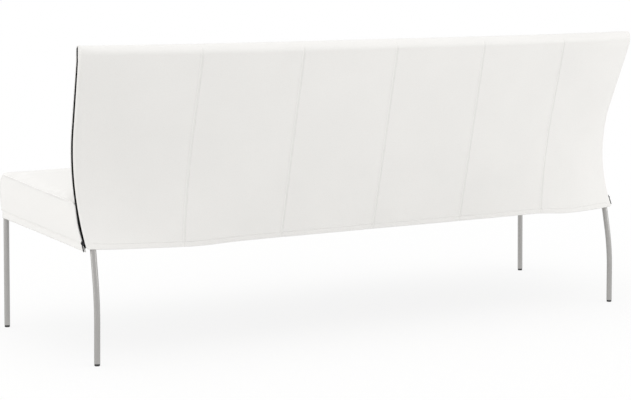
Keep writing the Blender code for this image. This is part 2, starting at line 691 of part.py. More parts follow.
def seat_frame():
    """Front rail, rear rail, end rails and cross rails, the straps across them and the cloth under them."""
    front = SEAT_FRONT + RAIL_INSET
    inner = front + SEAT_RAIL_THICKNESS
    outer = side_x(front, 0.0) - SEAT_CORNER
    rails = {}
    rails["front"] = board("front_rail", [[(-outer, y), (outer, y)] for y in (front, inner)], BEECH)
    low = float(base_z(REAR_PLATE[2]))
    end_top = float(base_z(REAR_PLATE[3])) + SEAT_RAIL_HEIGHT - GAP
    curved_rail("rear_rail", low, end_top)
    post_front = float(end_y(base_z(BEND_FRONT) + SEAT_RAIL_HEIGHT)) - POST_FRONT - GAP
    for side, hand in ((1, "left"), (-1, "right")):
        ends = []
        for y in (inner + GAP, post_front):
            x = side_x(y, 0.0) - RAIL_INSET
            ends.append([(side * (x - SEAT_RAIL_THICKNESS), y), (side * x, y)])
        rails[hand] = board(f"end_rail_{hand}", ends, BEECH)
        at = side * CROSS_RAIL_X
        edges = at + SEAT_RAIL_THICKNESS / 2 * np.array([-1.0, 1.0])
        reach = min(float(frame_y(at, low)), float(frame_y(at, end_top))) - GAP
        board(f"cross_rail_{hand}", [[(x, y) for x in edges] for y in (inner + GAP, reach)], BEECH)
    for number in range(SEAT_STRAPS):
        at = (number - (SEAT_STRAPS - 1) / 2) * SEAT_STRAP_PITCH
        edges = at + STRAP_WIDTH / 2 * np.array([-1.0, 1.0])
        reach = float(frame_y(at, end_top)) + STRAP_LANDING
        board(f"seat_strap_{number + 1}", [[(x, y) for x in edges] for y in (front, reach)], WEBBING,
              lift=SEAT_RAIL_HEIGHT + GAP, height=STRAP)
    return rails


def leg_path(place, bow):
    """Centre line of a leg from the floor up. A bowed leg stands upright, then leans forward above a bend."""
    x, y = place
    tilt = BASE_RAKE + (BOW_SLOPE if bow else 0.0)
    under_plate = REAR_PLATE[3] - REAR_LEG[1] if bow else LEG_DIAMETER / 2
    top = float(base_z(y)) - PLATE - 3 * GAP - under_plate * tilt
    foot = GLIDE_HEIGHT + GAP
    heights = [foot, top]
    if bow:
        bend_end = BOW_START + 2 * (bow - BOW_SLOPE * (top - BOW_START)) / -BOW_SLOPE
        heights = [foot, *np.linspace(BOW_START, bend_end, 8), top]
    points = []
    for z in heights:
        lean = 0.0
        if bow:
            on_bend = np.clip(z, BOW_START, bend_end) - BOW_START
            lean = BOW_SLOPE * on_bend ** 2 / (2 * (bend_end - BOW_START)) + BOW_SLOPE * max(z - bend_end, 0)
        points.append((x + LEG_SPLAY * (1 - z / top), y + bow - lean, z))
    return points


def leg(name, points):
    """A round steel leg along its centre line."""
    curve = bpy.data.curves.new(name, "CURVE")
    curve.dimensions = "3D"
    curve.bevel_depth = LEG_DIAMETER / 2
    curve.bevel_resolution = 6
    curve.use_fill_caps = True
    spline = curve.splines.new("POLY")
    spline.points.add(len(points) - 1)
    for point, place in zip(spline.points, points):
        point.co = (*place, 1.0)
    curve.materials.append(STEEL)
    made = bpy.data.objects.new(name, curve)
    sofa.objects.link(made)


def turned(name, profile, place, look):
    """A turned piece from (radius, height) pairs that run down its outer side, standing at a place."""
    mesh = bpy.data.meshes.new(name)
    mesh.from_pydata([(r, 0.0, h) for r, h in profile], [(i, i + 1) for i in range(len(profile) - 1)], [])
    mesh.materials.append(look)
    made = bpy.data.objects.new(name, mesh)
    made.location = place
    spin = made.modifiers.new("turn", "SCREW")
    spin.steps = 16
    spin.render_steps = 16
    spin.use_merge_vertices = True
    spin.merge_threshold = 0.00005
    spin.use_smooth_shade = True
    sofa.objects.link(made)


def screw_at(name, place):
    """A pan-head screw up through a plate into the frame. Returns a cutter for the hole it passes."""
    x, y = place
    head_top = float(base_z(y)) - PLATE - 2 * GAP - SCREW_HEAD[0] / 2 * BASE_RAKE
    tip = head_top + SCREW_LENGTH
    shank = SCREW_DIAMETER / 2
    head = SCREW_HEAD[0] / 2
    profile = [(0.0, tip), (shank, tip), (shank, head_top), (head, head_top),
               (head, head_top - SCREW_HEAD[1] * 0.5), (head * 0.7, head_top - SCREW_HEAD[1]),
               (0.0, head_top - SCREW_HEAD[1])]
    turned(name, profile, (x, y, 0.0), ZINC)
    return rod(f"{name}_hole", (x, y, head_top - PLATE), (x, y, tip + 2 * GAP), SCREW_DIAMETER + 4 * GAP)


def legs(rails):
    """Four legs with their foot glides, and the plates and screws that hold them to the frame."""
    corners = (("front", FRONT_LEG, 0.0, FRONT_PLATE, FRONT_SCREWS),
               ("rear", REAR_LEG, REAR_LEG_BOW, REAR_PLATE, REAR_SCREWS))
    for end, place, bow, plate, screws in corners:
        for side, hand in ((1, "left"), (-1, "right")):
            points = [(side * x, y, z) for x, y, z in leg_path(place, bow)]
            leg(f"{end}_leg_{hand}", points)
            foot = points[0]
            radius = GLIDE_DIAMETER / 2
            glide = [(0.0, GLIDE_HEIGHT), (radius, GLIDE_HEIGHT), (radius, GLIDE_CHAMFER),
                     (radius - GLIDE_CHAMFER, 0.0), (0.0, 0.0)]
            turned(f"{end}_glide_{hand}", glide, (foot[0], foot[1], 0.0), GLIDE_BLACK)
            xs = side * np.array(plate[:2])
            made = board(f"{end}_leg_plate_{hand}", [[(x, y) for x in xs] for y in plate[2:]], STEEL,
                         lift=-PLATE - GAP, height=PLATE)
            holders = (rails["front"], rails[hand]) if end == "front" else (
                bpy.data.objects["rear_rail"], bpy.data.objects[f"end_post_{hand}"])
            for number, (at, holder) in enumerate(zip(screws, holders), 1):
                hole = screw_at(f"{end}_screw_{hand}_{number}", (side * at[0], at[1]))
                cut(made, hole)
                cut(holder, hole)


def dust_cloth():
    """Thin cloth stapled under the frame, between the leg plates."""
    front = SEAT_FRONT + RAIL_INSET
    rear = float(frame_y(0.0, base_z(0.0)))
    beside = 4 * CLOTH
    stations = [(front, FRONT_PLATE[0] - beside), (FRONT_PLATE[3] + beside, FRONT_PLATE[0] - beside),
                (FRONT_PLATE[3] + beside + CLOTH, side_x(FRONT_PLATE[3], 0.0) - RAIL_INSET - beside),
                (REAR_PLATE[2] - beside - CLOTH, side_x(REAR_PLATE[2], 0.0) - RAIL_INSET - beside),
                (REAR_PLATE[2] - beside, REAR_PLATE[0] - beside), (rear, REAR_PLATE[0] - beside)]
    plan = np.array([[(-half, y), (half, y)] for y, half in stations])
    board("dust_cloth", plan, CLOTH_BLACK, lift=-CLOTH - GAP, height=CLOTH)


def zips():
    """A zip down each end of the back: tape, teeth, slider and hanging pull."""
    teeth_base = GAP - TAPE_SINK
    teeth_top = teeth_base + TEETH_HEIGHT
    for side, hand in ((1, "left"), (-1, "right")):
        tape_edge = ZIP_HALF_WIDTH - 2 * GAP
        curl_start = BACK_HEIGHT - CURL_HEIGHT
        below_curl = np.linspace(ZIP_BOTTOM, curl_start, 24)
        heights = np.concatenate([below_curl, np.linspace(curl_start, ZIP_TOP, 12)[1:]])
        narrowing = 2 * TAPE * (np.maximum(heights - curl_start, 0) / CURL_HEIGHT) ** 2
        front_edge = tape_edge + zip_opening(heights) - GAP - narrowing
        profile_strip(f"zip_tape_{hand}", side, heights, -front_edge, tape_edge, -TAPE_SINK - TAPE, -TAPE_SINK,
                      ZIP_BLACK)
        count = 2 * round((ZIP_TOP - ZIP_BOTTOM) / TEETH_PITCH)
        heights = np.linspace(ZIP_BOTTOM, ZIP_TOP, count)
        width = TEETH_HALF_WIDTH - TEETH_NOTCH * (np.arange(count) % 2)
        profile_strip(f"zip_teeth_{hand}", side, heights, -width, width, teeth_base, teeth_top, ZIP_BLACK)
        slider(side, hand, teeth_top)


def flipped(vector, side):
    """A left-end vector, mirrored for the right end."""
    return Vector((side * vector.x, vector.y, vector.z))


def slider(side, hand, teeth_top):
    """A slider astride the teeth, with two ears and a pin, and the pull that swings on the pin."""
    base, up, back, out = (flipped(v, side) for v in end_frame(SLIDER_HEIGHT_ON_ZIP))
    axes = (up, back, out)
    bend_centre = Vector((side * float(end_x(BEND_HEIGHT)), BEND_FRONT + BEND_RADIUS, BEND_HEIGHT))
    roof = teeth_top + SLIDER_CLEARANCE
    half_slot = TEETH_HALF_WIDTH + SLIDER_CLEARANCE
    half_width = half_slot + SLIDER_WALL
    legs_at = 2 * GAP
    tall = roof + SLIDER_CROWN - legs_at
    body = block(f"zip_slider_{hand}", base + out * (legs_at + tall / 2), axes,
                 (SLIDER_LENGTH, 2 * half_width, tall), SLIDER_METAL, collection=sofa, origin=bend_centre)
    slot_depth = roof - legs_at + SLIDER_CLEARANCE
    slot = block(f"slider_slot_{hand}", base + out * (roof - slot_depth / 2), axes,
                 (2 * SLIDER_LENGTH, 2 * half_slot, slot_depth))
    cut(body, slot)
    top = roof + SLIDER_CROWN
    pin_centre = base + out * (top + EYE_DIAMETER / 2 + 2 * GAP)
    ear_tall = EYE_DIAMETER / 2 + PIN_DIAMETER + 2 * GAP
    ear_from_middle = EYE_LENGTH / 2 + GAP + EAR / 2
    for end in (-1, 1):
        ear = block(f"slider_ear_{hand}_{end}", base + out * (top + ear_tall / 2 - GAP)
                    + back * (end * ear_from_middle), axes, (2 * EYE_DIAMETER, EAR, ear_tall))
        join(body, ear)
    half_pin = back * ear_from_middle
    pin = rod(f"slider_pin_{hand}", pin_centre - half_pin, pin_centre + half_pin, PIN_DIAMETER, sides=10)
    join(body, pin)
    eye = rod(f"zip_pull_{hand}", pin_centre - back * EYE_LENGTH / 2, pin_centre + back * EYE_LENGTH / 2,
              EYE_DIAMETER, SLIDER_METAL, collection=sofa, origin=pin_centre)
    neck = block(f"pull_neck_{hand}", pin_centre - up * EYE_DIAMETER, axes,
                 (2 * EYE_DIAMETER, EYE_LENGTH - GAP, PULL_THICKNESS))
    join(eye, neck)
    tab_length = PULL_LENGTH - 2 * EYE_DIAMETER
    tab = block(f"pull_tab_{hand}", pin_centre - up * (2 * EYE_DIAMETER + tab_length / 2 - 2 * GAP), axes,
                (tab_length, PULL_WIDTH, PULL_THICKNESS))
    join(eye, tab)
    bore = rod(f"pull_bore_{hand}", pin_centre - back * EYE_LENGTH, pin_centre + back * EYE_LENGTH,
               PIN_DIAMETER + 4 * GAP, sides=10)
    cut(eye, bore)


rear_cover()
front_cover()
back_foam()
back_frame()
seat_borders()
seat_cushion()
legs(seat_frame())
dust_cloth()
zips()
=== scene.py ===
"""Dining sofa from behind: white leather over a bowed back, black zips at its ends, steel legs."""
import math
import bpy
import numpy as np
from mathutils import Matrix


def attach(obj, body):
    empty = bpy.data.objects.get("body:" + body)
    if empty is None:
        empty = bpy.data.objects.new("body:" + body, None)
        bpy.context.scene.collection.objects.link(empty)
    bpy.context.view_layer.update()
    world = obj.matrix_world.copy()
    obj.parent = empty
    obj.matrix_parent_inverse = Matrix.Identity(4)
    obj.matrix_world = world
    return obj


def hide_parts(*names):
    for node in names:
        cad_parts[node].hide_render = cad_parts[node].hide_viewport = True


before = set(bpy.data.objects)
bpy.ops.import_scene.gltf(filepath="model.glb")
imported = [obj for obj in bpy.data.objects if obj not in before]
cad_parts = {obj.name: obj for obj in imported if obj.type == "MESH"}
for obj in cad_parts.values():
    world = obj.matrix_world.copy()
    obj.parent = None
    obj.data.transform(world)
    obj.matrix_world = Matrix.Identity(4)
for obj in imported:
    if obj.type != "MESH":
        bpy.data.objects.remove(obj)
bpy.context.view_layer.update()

# Studio: a white paper floor that keeps the sofa's soft shadow, in an even white room.
# Soft panels above and around the sofa light it, as in a catalogue picture.
scene = bpy.context.scene
scene.view_settings.view_transform = "Standard"
WHITE = (1.0, 1.0, 1.0, 1.0)


def nodes_of(name):
    """A new node material: returns it with its node tree and its Principled shader."""
    made = bpy.data.materials.new(name)
    made.use_nodes = True
    tree = made.node_tree
    return made, tree, tree.nodes["Principled BSDF"]


def wire(tree, kind, inputs=None, **settings):
    """Adds a node, sets its properties, and fills its sockets with values or other outputs."""
    node = tree.nodes.new(kind)
    for key, value in settings.items():
        setattr(node, key, value)
    for key, value in (inputs or {}).items():
        if isinstance(value, bpy.types.NodeSocket):
            tree.links.new(value, node.inputs[key])
        else:
            node.inputs[key].default_value = value
    return node


def worked(tree, operation, first, second):
    """Result of a node that works on two values."""
    return wire(tree, "ShaderNodeMath", {0: first, 1: second}, operation=operation).outputs[0]


def mapped(tree, value, to, start=(0.0, 1.0), **settings):
    """Result of a node that carries a value from one range to another and stops at its ends."""
    ends = {"From Min": start[0], "From Max": start[1], "To Min": to[0], "To Max": to[1]}
    return wire(tree, "ShaderNodeMapRange", {"Value": value, **ends}, **settings).outputs[0]


def seen_directly(tree):
    """1 for rays from the camera, and for those that metal mirrors or glass passes on."""
    path = wire(tree, "ShaderNodeLightPath").outputs
    mirrored = worked(tree, "MAXIMUM", path["Is Camera Ray"], path["Is Glossy Ray"])
    return worked(tree, "MAXIMUM", mirrored, path["Is Transmission Ray"])


room = bpy.data.worlds.new("white_room")
room.use_nodes = True
room_tree = room.node_tree
room_tree.nodes.clear()
room_light = wire(room_tree, "ShaderNodeBackground",
                  {"Color": (1.0, 0.995, 0.985, 1.0), "Strength": 0.85})
room_white = wire(room_tree, "ShaderNodeBackground", {"Color": WHITE, "Strength": 1.0})
room_mix = wire(room_tree, "ShaderNodeMixShader", {0: seen_directly(room_tree),
                                                   1: room_light.outputs[0],
                                                   2: room_white.outputs[0]})
wire(room_tree, "ShaderNodeOutputWorld", {"Surface": room_mix.outputs[0]})
scene.world = room

FLOOR = 60.0
floor_mesh = bpy.data.meshes.new("floor")
floor_mesh.from_pydata([(-FLOOR, -FLOOR, 0.0), (FLOOR, -FLOOR, 0.0), (FLOOR, FLOOR, 0.0),
                        (-FLOOR, FLOOR, 0.0)], [], [(0, 1, 2, 3)])
floor = bpy.data.objects.new("floor", floor_mesh)
scene.collection.objects.link(floor)
paper, paper_tree, paper_shader = nodes_of("floor_paper")
paper_shader.inputs["Base Color"].default_value = (0.93, 0.93, 0.925, 1.0)
paper_shader.inputs["Roughness"].default_value = 0.9
paper_shader.inputs["Specular IOR Level"].default_value = 0.0
paper_place = wire(paper_tree, "ShaderNodeTexCoord").outputs["Object"]
paper_far = wire(paper_tree, "ShaderNodeVectorMath", {0: paper_place}, operation="LENGTH")
paper_fade = mapped(paper_tree, paper_far.outputs["Value"], (0.0, 1.0), (1.0, 2.6),
                    interpolation_type="SMOOTHSTEP")
paper_bright = mapped(paper_tree, paper_fade, (0.84, 1.0))
paper_seen = worked(paper_tree, "MULTIPLY", paper_bright, seen_directly(paper_tree))
paper_white = wire(paper_tree, "ShaderNodeEmission", {"Color": WHITE, "Strength": 1.0})
paper_mix = wire(paper_tree, "ShaderNodeMixShader", {0: paper_seen, 1: paper_shader.outputs[0],
                                                     2: paper_white.outputs[0]})
paper_tree.links.new(paper_mix.outputs[0], paper_tree.nodes["Material Output"].inputs["Surface"])
floor_mesh.materials.append(paper)


def soft_panel(name, place, aim, size, power):
    """A square lamp panel at a place, facing a point."""
    lamp = bpy.data.lights.new(name, "AREA")
    lamp.size = size
    lamp.energy = power
    panel = bpy.data.objects.new(name, lamp)
    toward = np.array(aim) - np.array(place)
    tilt = math.atan2(math.hypot(toward[0], toward[1]), -toward[2])
    panel.location = place
    panel.rotation_euler = (tilt, 0.0, math.atan2(toward[1], toward[0]) - math.pi / 2)
    scene.collection.objects.link(panel)


soft_panel("overhead_panel", (0.6, 0.9, 3.6), (0.0, 0.0, 0.4), 3.0, 22.0)
soft_panel("window_panel", (-4.2, 3.2, 2.2), (0.0, 0.1, 0.5), 2.4, 44.0)
soft_panel("front_panel", (1.2, -3.4, 2.6), (0.4, 0.0, 0.45), 2.4, 14.0)
soft_panel("side_panel", (4.6, -1.2, 1.4), (0.9, 0.0, 0.4), 2.4, 30.0)

eye = bpy.data.cameras.new("photo_camera")
eye.sensor_width = 36.0
eye.lens = 93.0
eye.clip_end = 200.0
camera = bpy.data.objects.new("photo_camera", eye)
camera.location = (2.4757, 4.3992, 1.1161)
camera.rotation_euler = (math.radians(81.586), 0.0, math.radians(151.346))
scene.collection.objects.link(camera)
scene.camera = camera

# Inner frame: planed beech rails and bent posts, with elastic webbing stretched across them.
# All of it is hidden by the covers; the boards keep the solids' shapes and get wood and weave.


def finish(name, textures, dark, light, gloss, relief=None, stretch=(1.0, 1.0, 1.0), **sockets):
    """A finish in Object coordinates whose tone, roughness and relief follow some textures.

    A texture is its kind, scale, inputs and settings, and several are multiplied. gloss is a range
    of roughness, relief a bump's strength and distance, and sockets are other shader inputs.
    """
    made, tree, shader = nodes_of(name)
    place = wire(tree, "ShaderNodeTexCoord").outputs["Object"]
    place = wire(tree, "ShaderNodeMapping", {"Vector": place, "Scale": stretch}).outputs[0]
    share = None
    for kind, scale, inputs, settings in textures:
        texture = wire(tree, f"ShaderNodeTex{kind}", {"Vector": place, "Scale": scale, **inputs},
                       **settings).outputs["Distance" if kind == "Voronoi" else "Fac"]
        share = texture if share is None else worked(tree, "MULTIPLY", share, texture)
    tone = wire(tree, "ShaderNodeValToRGB", {"Fac": share})
    for stop, colour in zip(tone.color_ramp.elements, (dark, light)):
        stop.color = (*colour, 1.0)
    tree.links.new(tone.outputs[0], shader.inputs["Base Color"])
    tree.links.new(mapped(tree, share, gloss), shader.inputs["Roughness"])
    if relief:
        bump = wire(tree, "ShaderNodeBump", {"Height": share, "Strength": relief[0],
                                             "Distance": relief[1]})
        tree.links.new(bump.outputs[0], shader.inputs["Normal"])
    for socket, value in sockets.items():
        shader.inputs[socket.replace("_", " ")].default_value = value
    return made


def refinish(name_part, look):
    """Gives a finish to every CAD node whose name holds a word."""
    for name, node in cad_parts.items():
        if name_part in name:
            node.data.materials.clear()
            node.data.materials.append(look)


beech = finish("planed_beech", [("Noise", 1.4, {"Detail": 6.0}, {})], (0.50, 0.33, 0.19),
               (0.70, 0.52, 0.34), (0.6, 0.6), (0.15, 0.001), (3.0, 40.0, 60.0))
webbing = finish("elastic_webbing", [("Wave", 160.0, {}, {"bands_direction": "Y"}),
                                     ("Wave", 160.0, {}, {"bands_direction": "X"})],
                 (0.02, 0.02, 0.022), (0.16, 0.16, 0.17), (0.85, 0.85), (0.5, 0.0005))
for board in ("rail", "post"):
    refinish(board, beech)
refinish("strap", webbing)

# Rear cover: one white leather cover over the back of the sofa, of six panels with flat seams.
# It leans back, bows round at its ends to the zips, and closes over the top edge.
# Its lower edge is turned up and stitched as a hem.
HEM, CREST, ROUND = 0.307, 0.886, 0.028
SHOULDER = CREST - ROUND
HALF, FLARE = 0.910, 0.052


def quarter(share):
    """Depth of a unit quarter circle at a share of its run: 1 - sqrt(1 - share^2)."""
    return 1 - np.sqrt(1 - np.clip(share, 0, 1) ** 2)


def eased(share):
    """Smooth step from 0 to 1: 3 share^2 - 2 share^3."""
    share = np.clip(share, 0, 1)
    return share ** 2 * (3 - 2 * share)


def end_x(z):
    """Half length of the back at height z: a flare of 52 mm a metre, rounded in by 6 mm on top."""
    return HALF + FLARE * (z - HEM) - 0.006 * quarter((z - SHOULDER) / ROUND)


BEND, BEND_Y, BEND_Z, LEAN = 0.352, 0.1528, 0.52, math.radians(21.4)
CURL, CURL_HEIGHT = 0.019, 0.056


def end_y(z):
    """Side profile of the ends: a circle of radius BEND about (BEND_Y + BEND, BEND_Z).

    From the angle LEAN on it is that circle's tangent, and over the last CURL_HEIGHT it curls
    forward by CURL times the share of that height to the power 2.5.
    """
    rise = (z - BEND_Z) * math.hypot(1, FLARE)
    stop = BEND * math.sin(LEAN)
    arc = BEND - np.sqrt(BEND ** 2 - np.minimum(rise, stop) ** 2)
    curl = CURL * np.maximum((z - CREST + CURL_HEIGHT) / CURL_HEIGHT, 0) ** 2.5
    return BEND_Y + arc + np.maximum(rise - stop, 0) * math.tan(LEAN) - curl


REAR_FOOT, REAR_LEAN = 0.2261, 0.248


def middle_y(z):
    """Rear face at mid length: a straight line that leans back 248 mm a metre."""
    return REAR_FOOT + REAR_LEAN * (z - HEM)


ZIP_EDGE, SEWN_GAP = 0.005, 0.0003
CORNER, CORNER_DEPTH, REAR_LAP = 0.010, 0.014, 0.0004


def rear_y(x, z):
    """Rear face: the middle line less a fourth-power bow of x, with a quarter round at the zips."""
    straight = end_x(z) - CORNER
    bow = (middle_y(z) - end_y(z) - CORNER_DEPTH) * np.minimum(np.abs(x) / straight, 1) ** 4
    turned = (CORNER_DEPTH - ZIP_EDGE + REAR_LAP) * quarter((np.abs(x) - straight) / CORNER)
    return middle_y(z) - bow - turned


NOSE, NOSE_DEPTH = 0.045, 0.047
BACK_DEPTH, BACK_SWELL = 0.0928, 0.013


def front_y(x, z):
    """Front of the back: a swelling line less a fourth-power bow of x, with a nose at its ends."""
    start = end_x(z) - NOSE
    middle = middle_y(z) - BACK_DEPTH - BACK_SWELL * np.exp(-((z - 0.58) / 0.11) ** 2)
    bow = (middle - end_y(z) + NOSE_DEPTH) * np.minimum(np.abs(x) / start, 1) ** 4
    turned = (NOSE_DEPTH - ZIP_EDGE - SEWN_GAP) * quarter((np.abs(x) - start) / NOSE)
    return middle - bow + turned


def top_round(x, side, relief):
    """Rounded top edge: an ellipse about the back's middle that leans with it, up to the crest.

    Over the last 12 mm it keeps beside the zip, which runs up to the crest too. side is 1 behind
    and -1 in front, and relief is that of the face below.
    """
    turn = np.linspace(0, 1, 20)[1:, None] * math.radians(89)
    x = np.broadcast_to(x, (len(turn), len(x)))
    level = np.full_like(x, SHOULDER)
    rear, front = rear_y(x, level), front_y(x, level)
    middle = (rear + front) / 2
    reach = (rear if side > 0 else front) - middle
    height = ROUND * np.sin(turn)
    dome = middle + (reach + side * relief) * np.cos(turn) + REAR_LEAN * height + side * SEWN_GAP
    beside_zip = end_y(SHOULDER + height) + side * (ZIP_EDGE + SEWN_GAP)
    to_zip = eased((np.abs(x) - end_x(SHOULDER)) / 0.012 + 1) * np.sin(turn) ** 0.7
    along = x * end_x(SHOULDER + height) / end_x(SHOULDER)
    return np.stack([along, dome + to_zip * (beside_zip - dome), level + height], axis=-1)


def nearest(places, marks):
    """Distance from each place to the nearest mark."""
    return np.min(np.abs(places[..., None] - marks), axis=-1)


SEAMS = np.array([-2, -1, 0, 1, 2]) * 0.308
SEAM_REACH = 0.012


def fine_steps(stop, marks, coarse, reach):
    """Stations from 0 to a stop: coarse steps, with close ones within reach of each mark."""
    near = np.array([0.0, 0.1, 0.2, 0.35, 0.6, 1.0]) * reach
    plain = np.linspace(0.0, stop, int(round(stop / coarse)) + 1)
    plain = plain[nearest(plain, marks) > reach * 1.3]
    close = (marks[:, None] + np.concatenate([-near, near])).ravel()
    return np.unique(np.round(np.clip(np.concatenate([plain, close]), 0.0, stop), 6))


def columns(z, coarse, corner, flat_steps, turn_steps):
    """Stations along rows of the back at heights z: close at the seams and round the corners."""
    outer_seam = SEAMS[-1] + SEAM_REACH
    inner = fine_steps(outer_seam, SEAMS[2:], coarse, SEAM_REACH)
    start = (end_x(z) - corner)[:, None]
    share = np.linspace(0, 1, flat_steps)[1:]
    turn = np.sin(np.linspace(0, math.pi / 2, turn_steps))[1:]
    flat = outer_seam + (start - outer_seam) * share
    half = np.concatenate([np.broadcast_to(inner, (len(z), len(inner))), flat,
                           start + corner * turn], axis=1)
    return np.concatenate([-half[:, :0:-1], half], axis=1)


def piece(name, points, faces, look, smooth=True):
    """An object at the origin from points and four-sided faces."""
    mesh = bpy.data.meshes.new(name)
    mesh.vertices.add(len(points))
    mesh.vertices.foreach_set("co", np.ascontiguousarray(points, np.float32).ravel())
    mesh.loops.add(faces.size)
    mesh.loops.foreach_set("vertex_index", np.ascontiguousarray(faces, np.int32).ravel())
    mesh.polygons.add(len(faces))
    mesh.polygons.foreach_set("loop_start", np.arange(0, faces.size, 4, dtype=np.int32))
    mesh.polygons.foreach_set("use_smooth", np.full(len(faces), smooth))
    mesh.update(calc_edges=True)
    mesh.validate()
    mesh.materials.append(look)
    made = bpy.data.objects.new(name, mesh)
    scene.collection.objects.link(made)
    return made


def quads(index):
    """Four-sided faces between the neighbours in a grid of point numbers."""
    corners = [index[:-1, :-1], index[:-1, 1:], index[1:, 1:], index[1:, :-1]]
    return np.stack(corners, axis=-1).reshape(-1, 4)


def outward(made, towards=None):
    """Turns faces round that look away from a direction or, with none, into a closed piece."""
    sides = made.data.polygons
    normal, centre, area = (np.zeros(len(sides) * size, np.float32) for size in (3, 3, 1))
    sides.foreach_get("normal", normal)
    sides.foreach_get("center", centre)
    sides.foreach_get("area", area)
    centre = centre.reshape(-1, 3)
    out = centre - centre.mean(axis=0) if towards is None else np.array([towards])
    if (normal.reshape(-1, 3) * out * area[:, None]).sum() < 0:
        made.data.flip_normals()
    return made


def sheet(name, points, look, towards):
    """A piece from a grid of points (rows, columns, xyz), facing a direction."""
    rows, across = points.shape[:2]
    faces = quads(np.arange(rows * across).reshape(rows, across))
    return outward(piece(name, points.reshape(-1, 3), faces, look), towards)


def thicken(made, thickness, offset=-1.0):
    """Gives a sheet its thickness, behind its face (-1) or in front of it (1)."""
    wall = made.modifiers.new("thickness", "SOLIDIFY")
    wall.thickness = thickness
    wall.offset = offset


def between(name, outer, inner, look):
    """A closed piece between two equal grids of points: both faces, joined round their rims."""
    rows, across = outer.shape[:2]
    count = rows * across
    top = np.arange(count).reshape(rows, across)
    rim = np.concatenate([top[0, :], top[1:, -1], top[-1, -2::-1], top[-2:0:-1, 0]])
    turn = np.roll(rim, -1)
    strip = np.stack([turn, rim, rim + count, turn + count], axis=-1)
    faces = np.concatenate([quads(top), quads(top + count)[:, ::-1], strip])
    points = np.concatenate([outer.reshape(-1, 3), inner.reshape(-1, 3)])
    return outward(piece(name, points, faces, look))


# White pigmented leather: fine pebbled grain and pores, a little unevenness of tone, and gloss
# that follows that unevenness. Its colour is also up to 4 % darker in the grain's creases: painted
# shade.
LEATHER_WHITE, GRAIN = (0.845, 0.837, 0.822), 900.0
white_leather, hide, hide_shader = nodes_of("white_leather")
hide_place = wire(hide, "ShaderNodeTexCoord").outputs["Object"]
hide_tone = wire(hide, "ShaderNodeTexNoise",
                 {"Vector": hide_place, "Scale": 5.0, "Detail": 3.0}).outputs[0]
hide_pebble = wire(hide, "ShaderNodeTexVoronoi", {"Vector": hide_place, "Scale": GRAIN},
                   feature="F1").outputs["Distance"]
hide_crease = wire(hide, "ShaderNodeTexVoronoi", {"Vector": hide_place, "Scale": GRAIN * 0.45},
                   feature="DISTANCE_TO_EDGE").outputs["Distance"]
hide_pores = wire(hide, "ShaderNodeTexNoise",
                  {"Vector": hide_place, "Scale": GRAIN * 1.7, "Detail": 2.0}).outputs[0]
hide_line = mapped(hide, hide_crease, (0.0, 1.0), (0.0, 0.12))
hide_height = worked(hide, "ADD", worked(hide, "SUBTRACT", hide_line, hide_pebble), hide_pores)
hide_bump = wire(hide, "ShaderNodeBump",
                 {"Height": hide_height, "Strength": 0.16, "Distance": 0.0003})
# Random unevenness of tone, times a painted shade that darkens the grain's creases by up to 4 %.
hide_tone_and_crease_shade = worked(hide, "MULTIPLY", mapped(hide, hide_tone, (0.985, 1.010), (0.3, 0.7)),
                    mapped(hide, hide_line, (0.96, 1.0)))
hide_tint = wire(hide, "ShaderNodeVectorMath", {0: LEATHER_WHITE, "Scale": hide_tone_and_crease_shade},
                 operation="SCALE")
hide.links.new(hide_tint.outputs[0], hide_shader.inputs["Base Color"])
hide.links.new(mapped(hide, hide_tone, (0.46, 0.60)), hide_shader.inputs["Roughness"])
hide.links.new(hide_bump.outputs[0], hide_shader.inputs["Normal"])
hide_shader.inputs["Specular IOR Level"].default_value = 0.35


def seam_relief(near, depth, width, full=0.0012, spread=0.045):
    """Relief of sewn panels at a distance from a seam: a narrow groove, and fullness beyond it."""
    return full * (1 - np.exp(-(near / spread) ** 2)) - depth * np.exp(-(near / width) ** 2)


def slack(x, z, size):
    """Slow unevenness of stretched leather: a few long waves across and along."""
    long_waves = np.sin(9.3 * x + 4.1 * z + 0.6) * np.sin(11.7 * z - 2.3 * x)
    return size * (long_waves + 0.6 * np.sin(17.0 * x - 8.0 * z + 1.9) * np.sin(6.1 * z + 0.8))


def taper(x, z):
    """Sideways lean of the sewn panels: x moves by 1.0 % at the hem and -0.9 % at the crest.

    It fades out between the outer seams and the zips.
    """
    return x * (0.010 - 0.019 * (z - HEM) / (CREST - HEM)) * eased((0.86 - np.abs(x)) / 0.22)


def rear_relief(x, z):
    """Relief of the rear cover's seams and slack, which fades out over 30 mm beside the zips."""
    relief = seam_relief(nearest(x, SEAMS), 0.0016, 0.0022) + slack(x, z, 0.0005)
    return relief * np.clip((end_x(z) - np.abs(x)) / 0.03, 0, 1)


def hem_line(x, end):
    """Height of the hem: it lifts by 15 mm at the zips, with the sixth power of x.

    It is 4.5 mm short apart from a dip near the left leg, and 10 mm longer at the right end.
    """
    dip = np.exp(-((x - 0.58) / 0.10) ** 2)
    longer = 0.010 * eased((-0.58 - x) / 0.16)
    return HEM + 0.015 * np.abs(x / end) ** 6 + 0.0045 * (1 - dip) - longer


HEM_TURN = 0.014
HEM_ROWS = np.array([1.5, 3, 6, 9, 11, 12, 13, 14, 15, 16, 17, 19, 22]) * 0.001


def rear_points():
    """Rear cover as a grid: rows from the hem to the shoulder, then the round to the crest."""
    share = np.concatenate([np.linspace(0, 1, 70), HEM_ROWS / (SHOULDER - HEM)])
    share = np.sort(share)[:, None]
    x = columns(HEM + share[:, 0] * (SHOULDER - HEM), 0.014, CORNER, 24, 9)
    hem = hem_line(x, x[:, -1:])
    z = hem + share * (SHOULDER - hem)
    above = z - hem
    relief = rear_relief(x, z) - 0.0003 * (above < HEM_TURN)
    relief -= 0.0005 * np.exp(-((above - HEM_TURN) / 0.0016) ** 2)
    x = x + taper(x, z)
    straight = np.stack([x, rear_y(x, z) + relief, z], axis=-1)
    return np.concatenate([straight, top_round(x[-1], 1, relief[-1])])


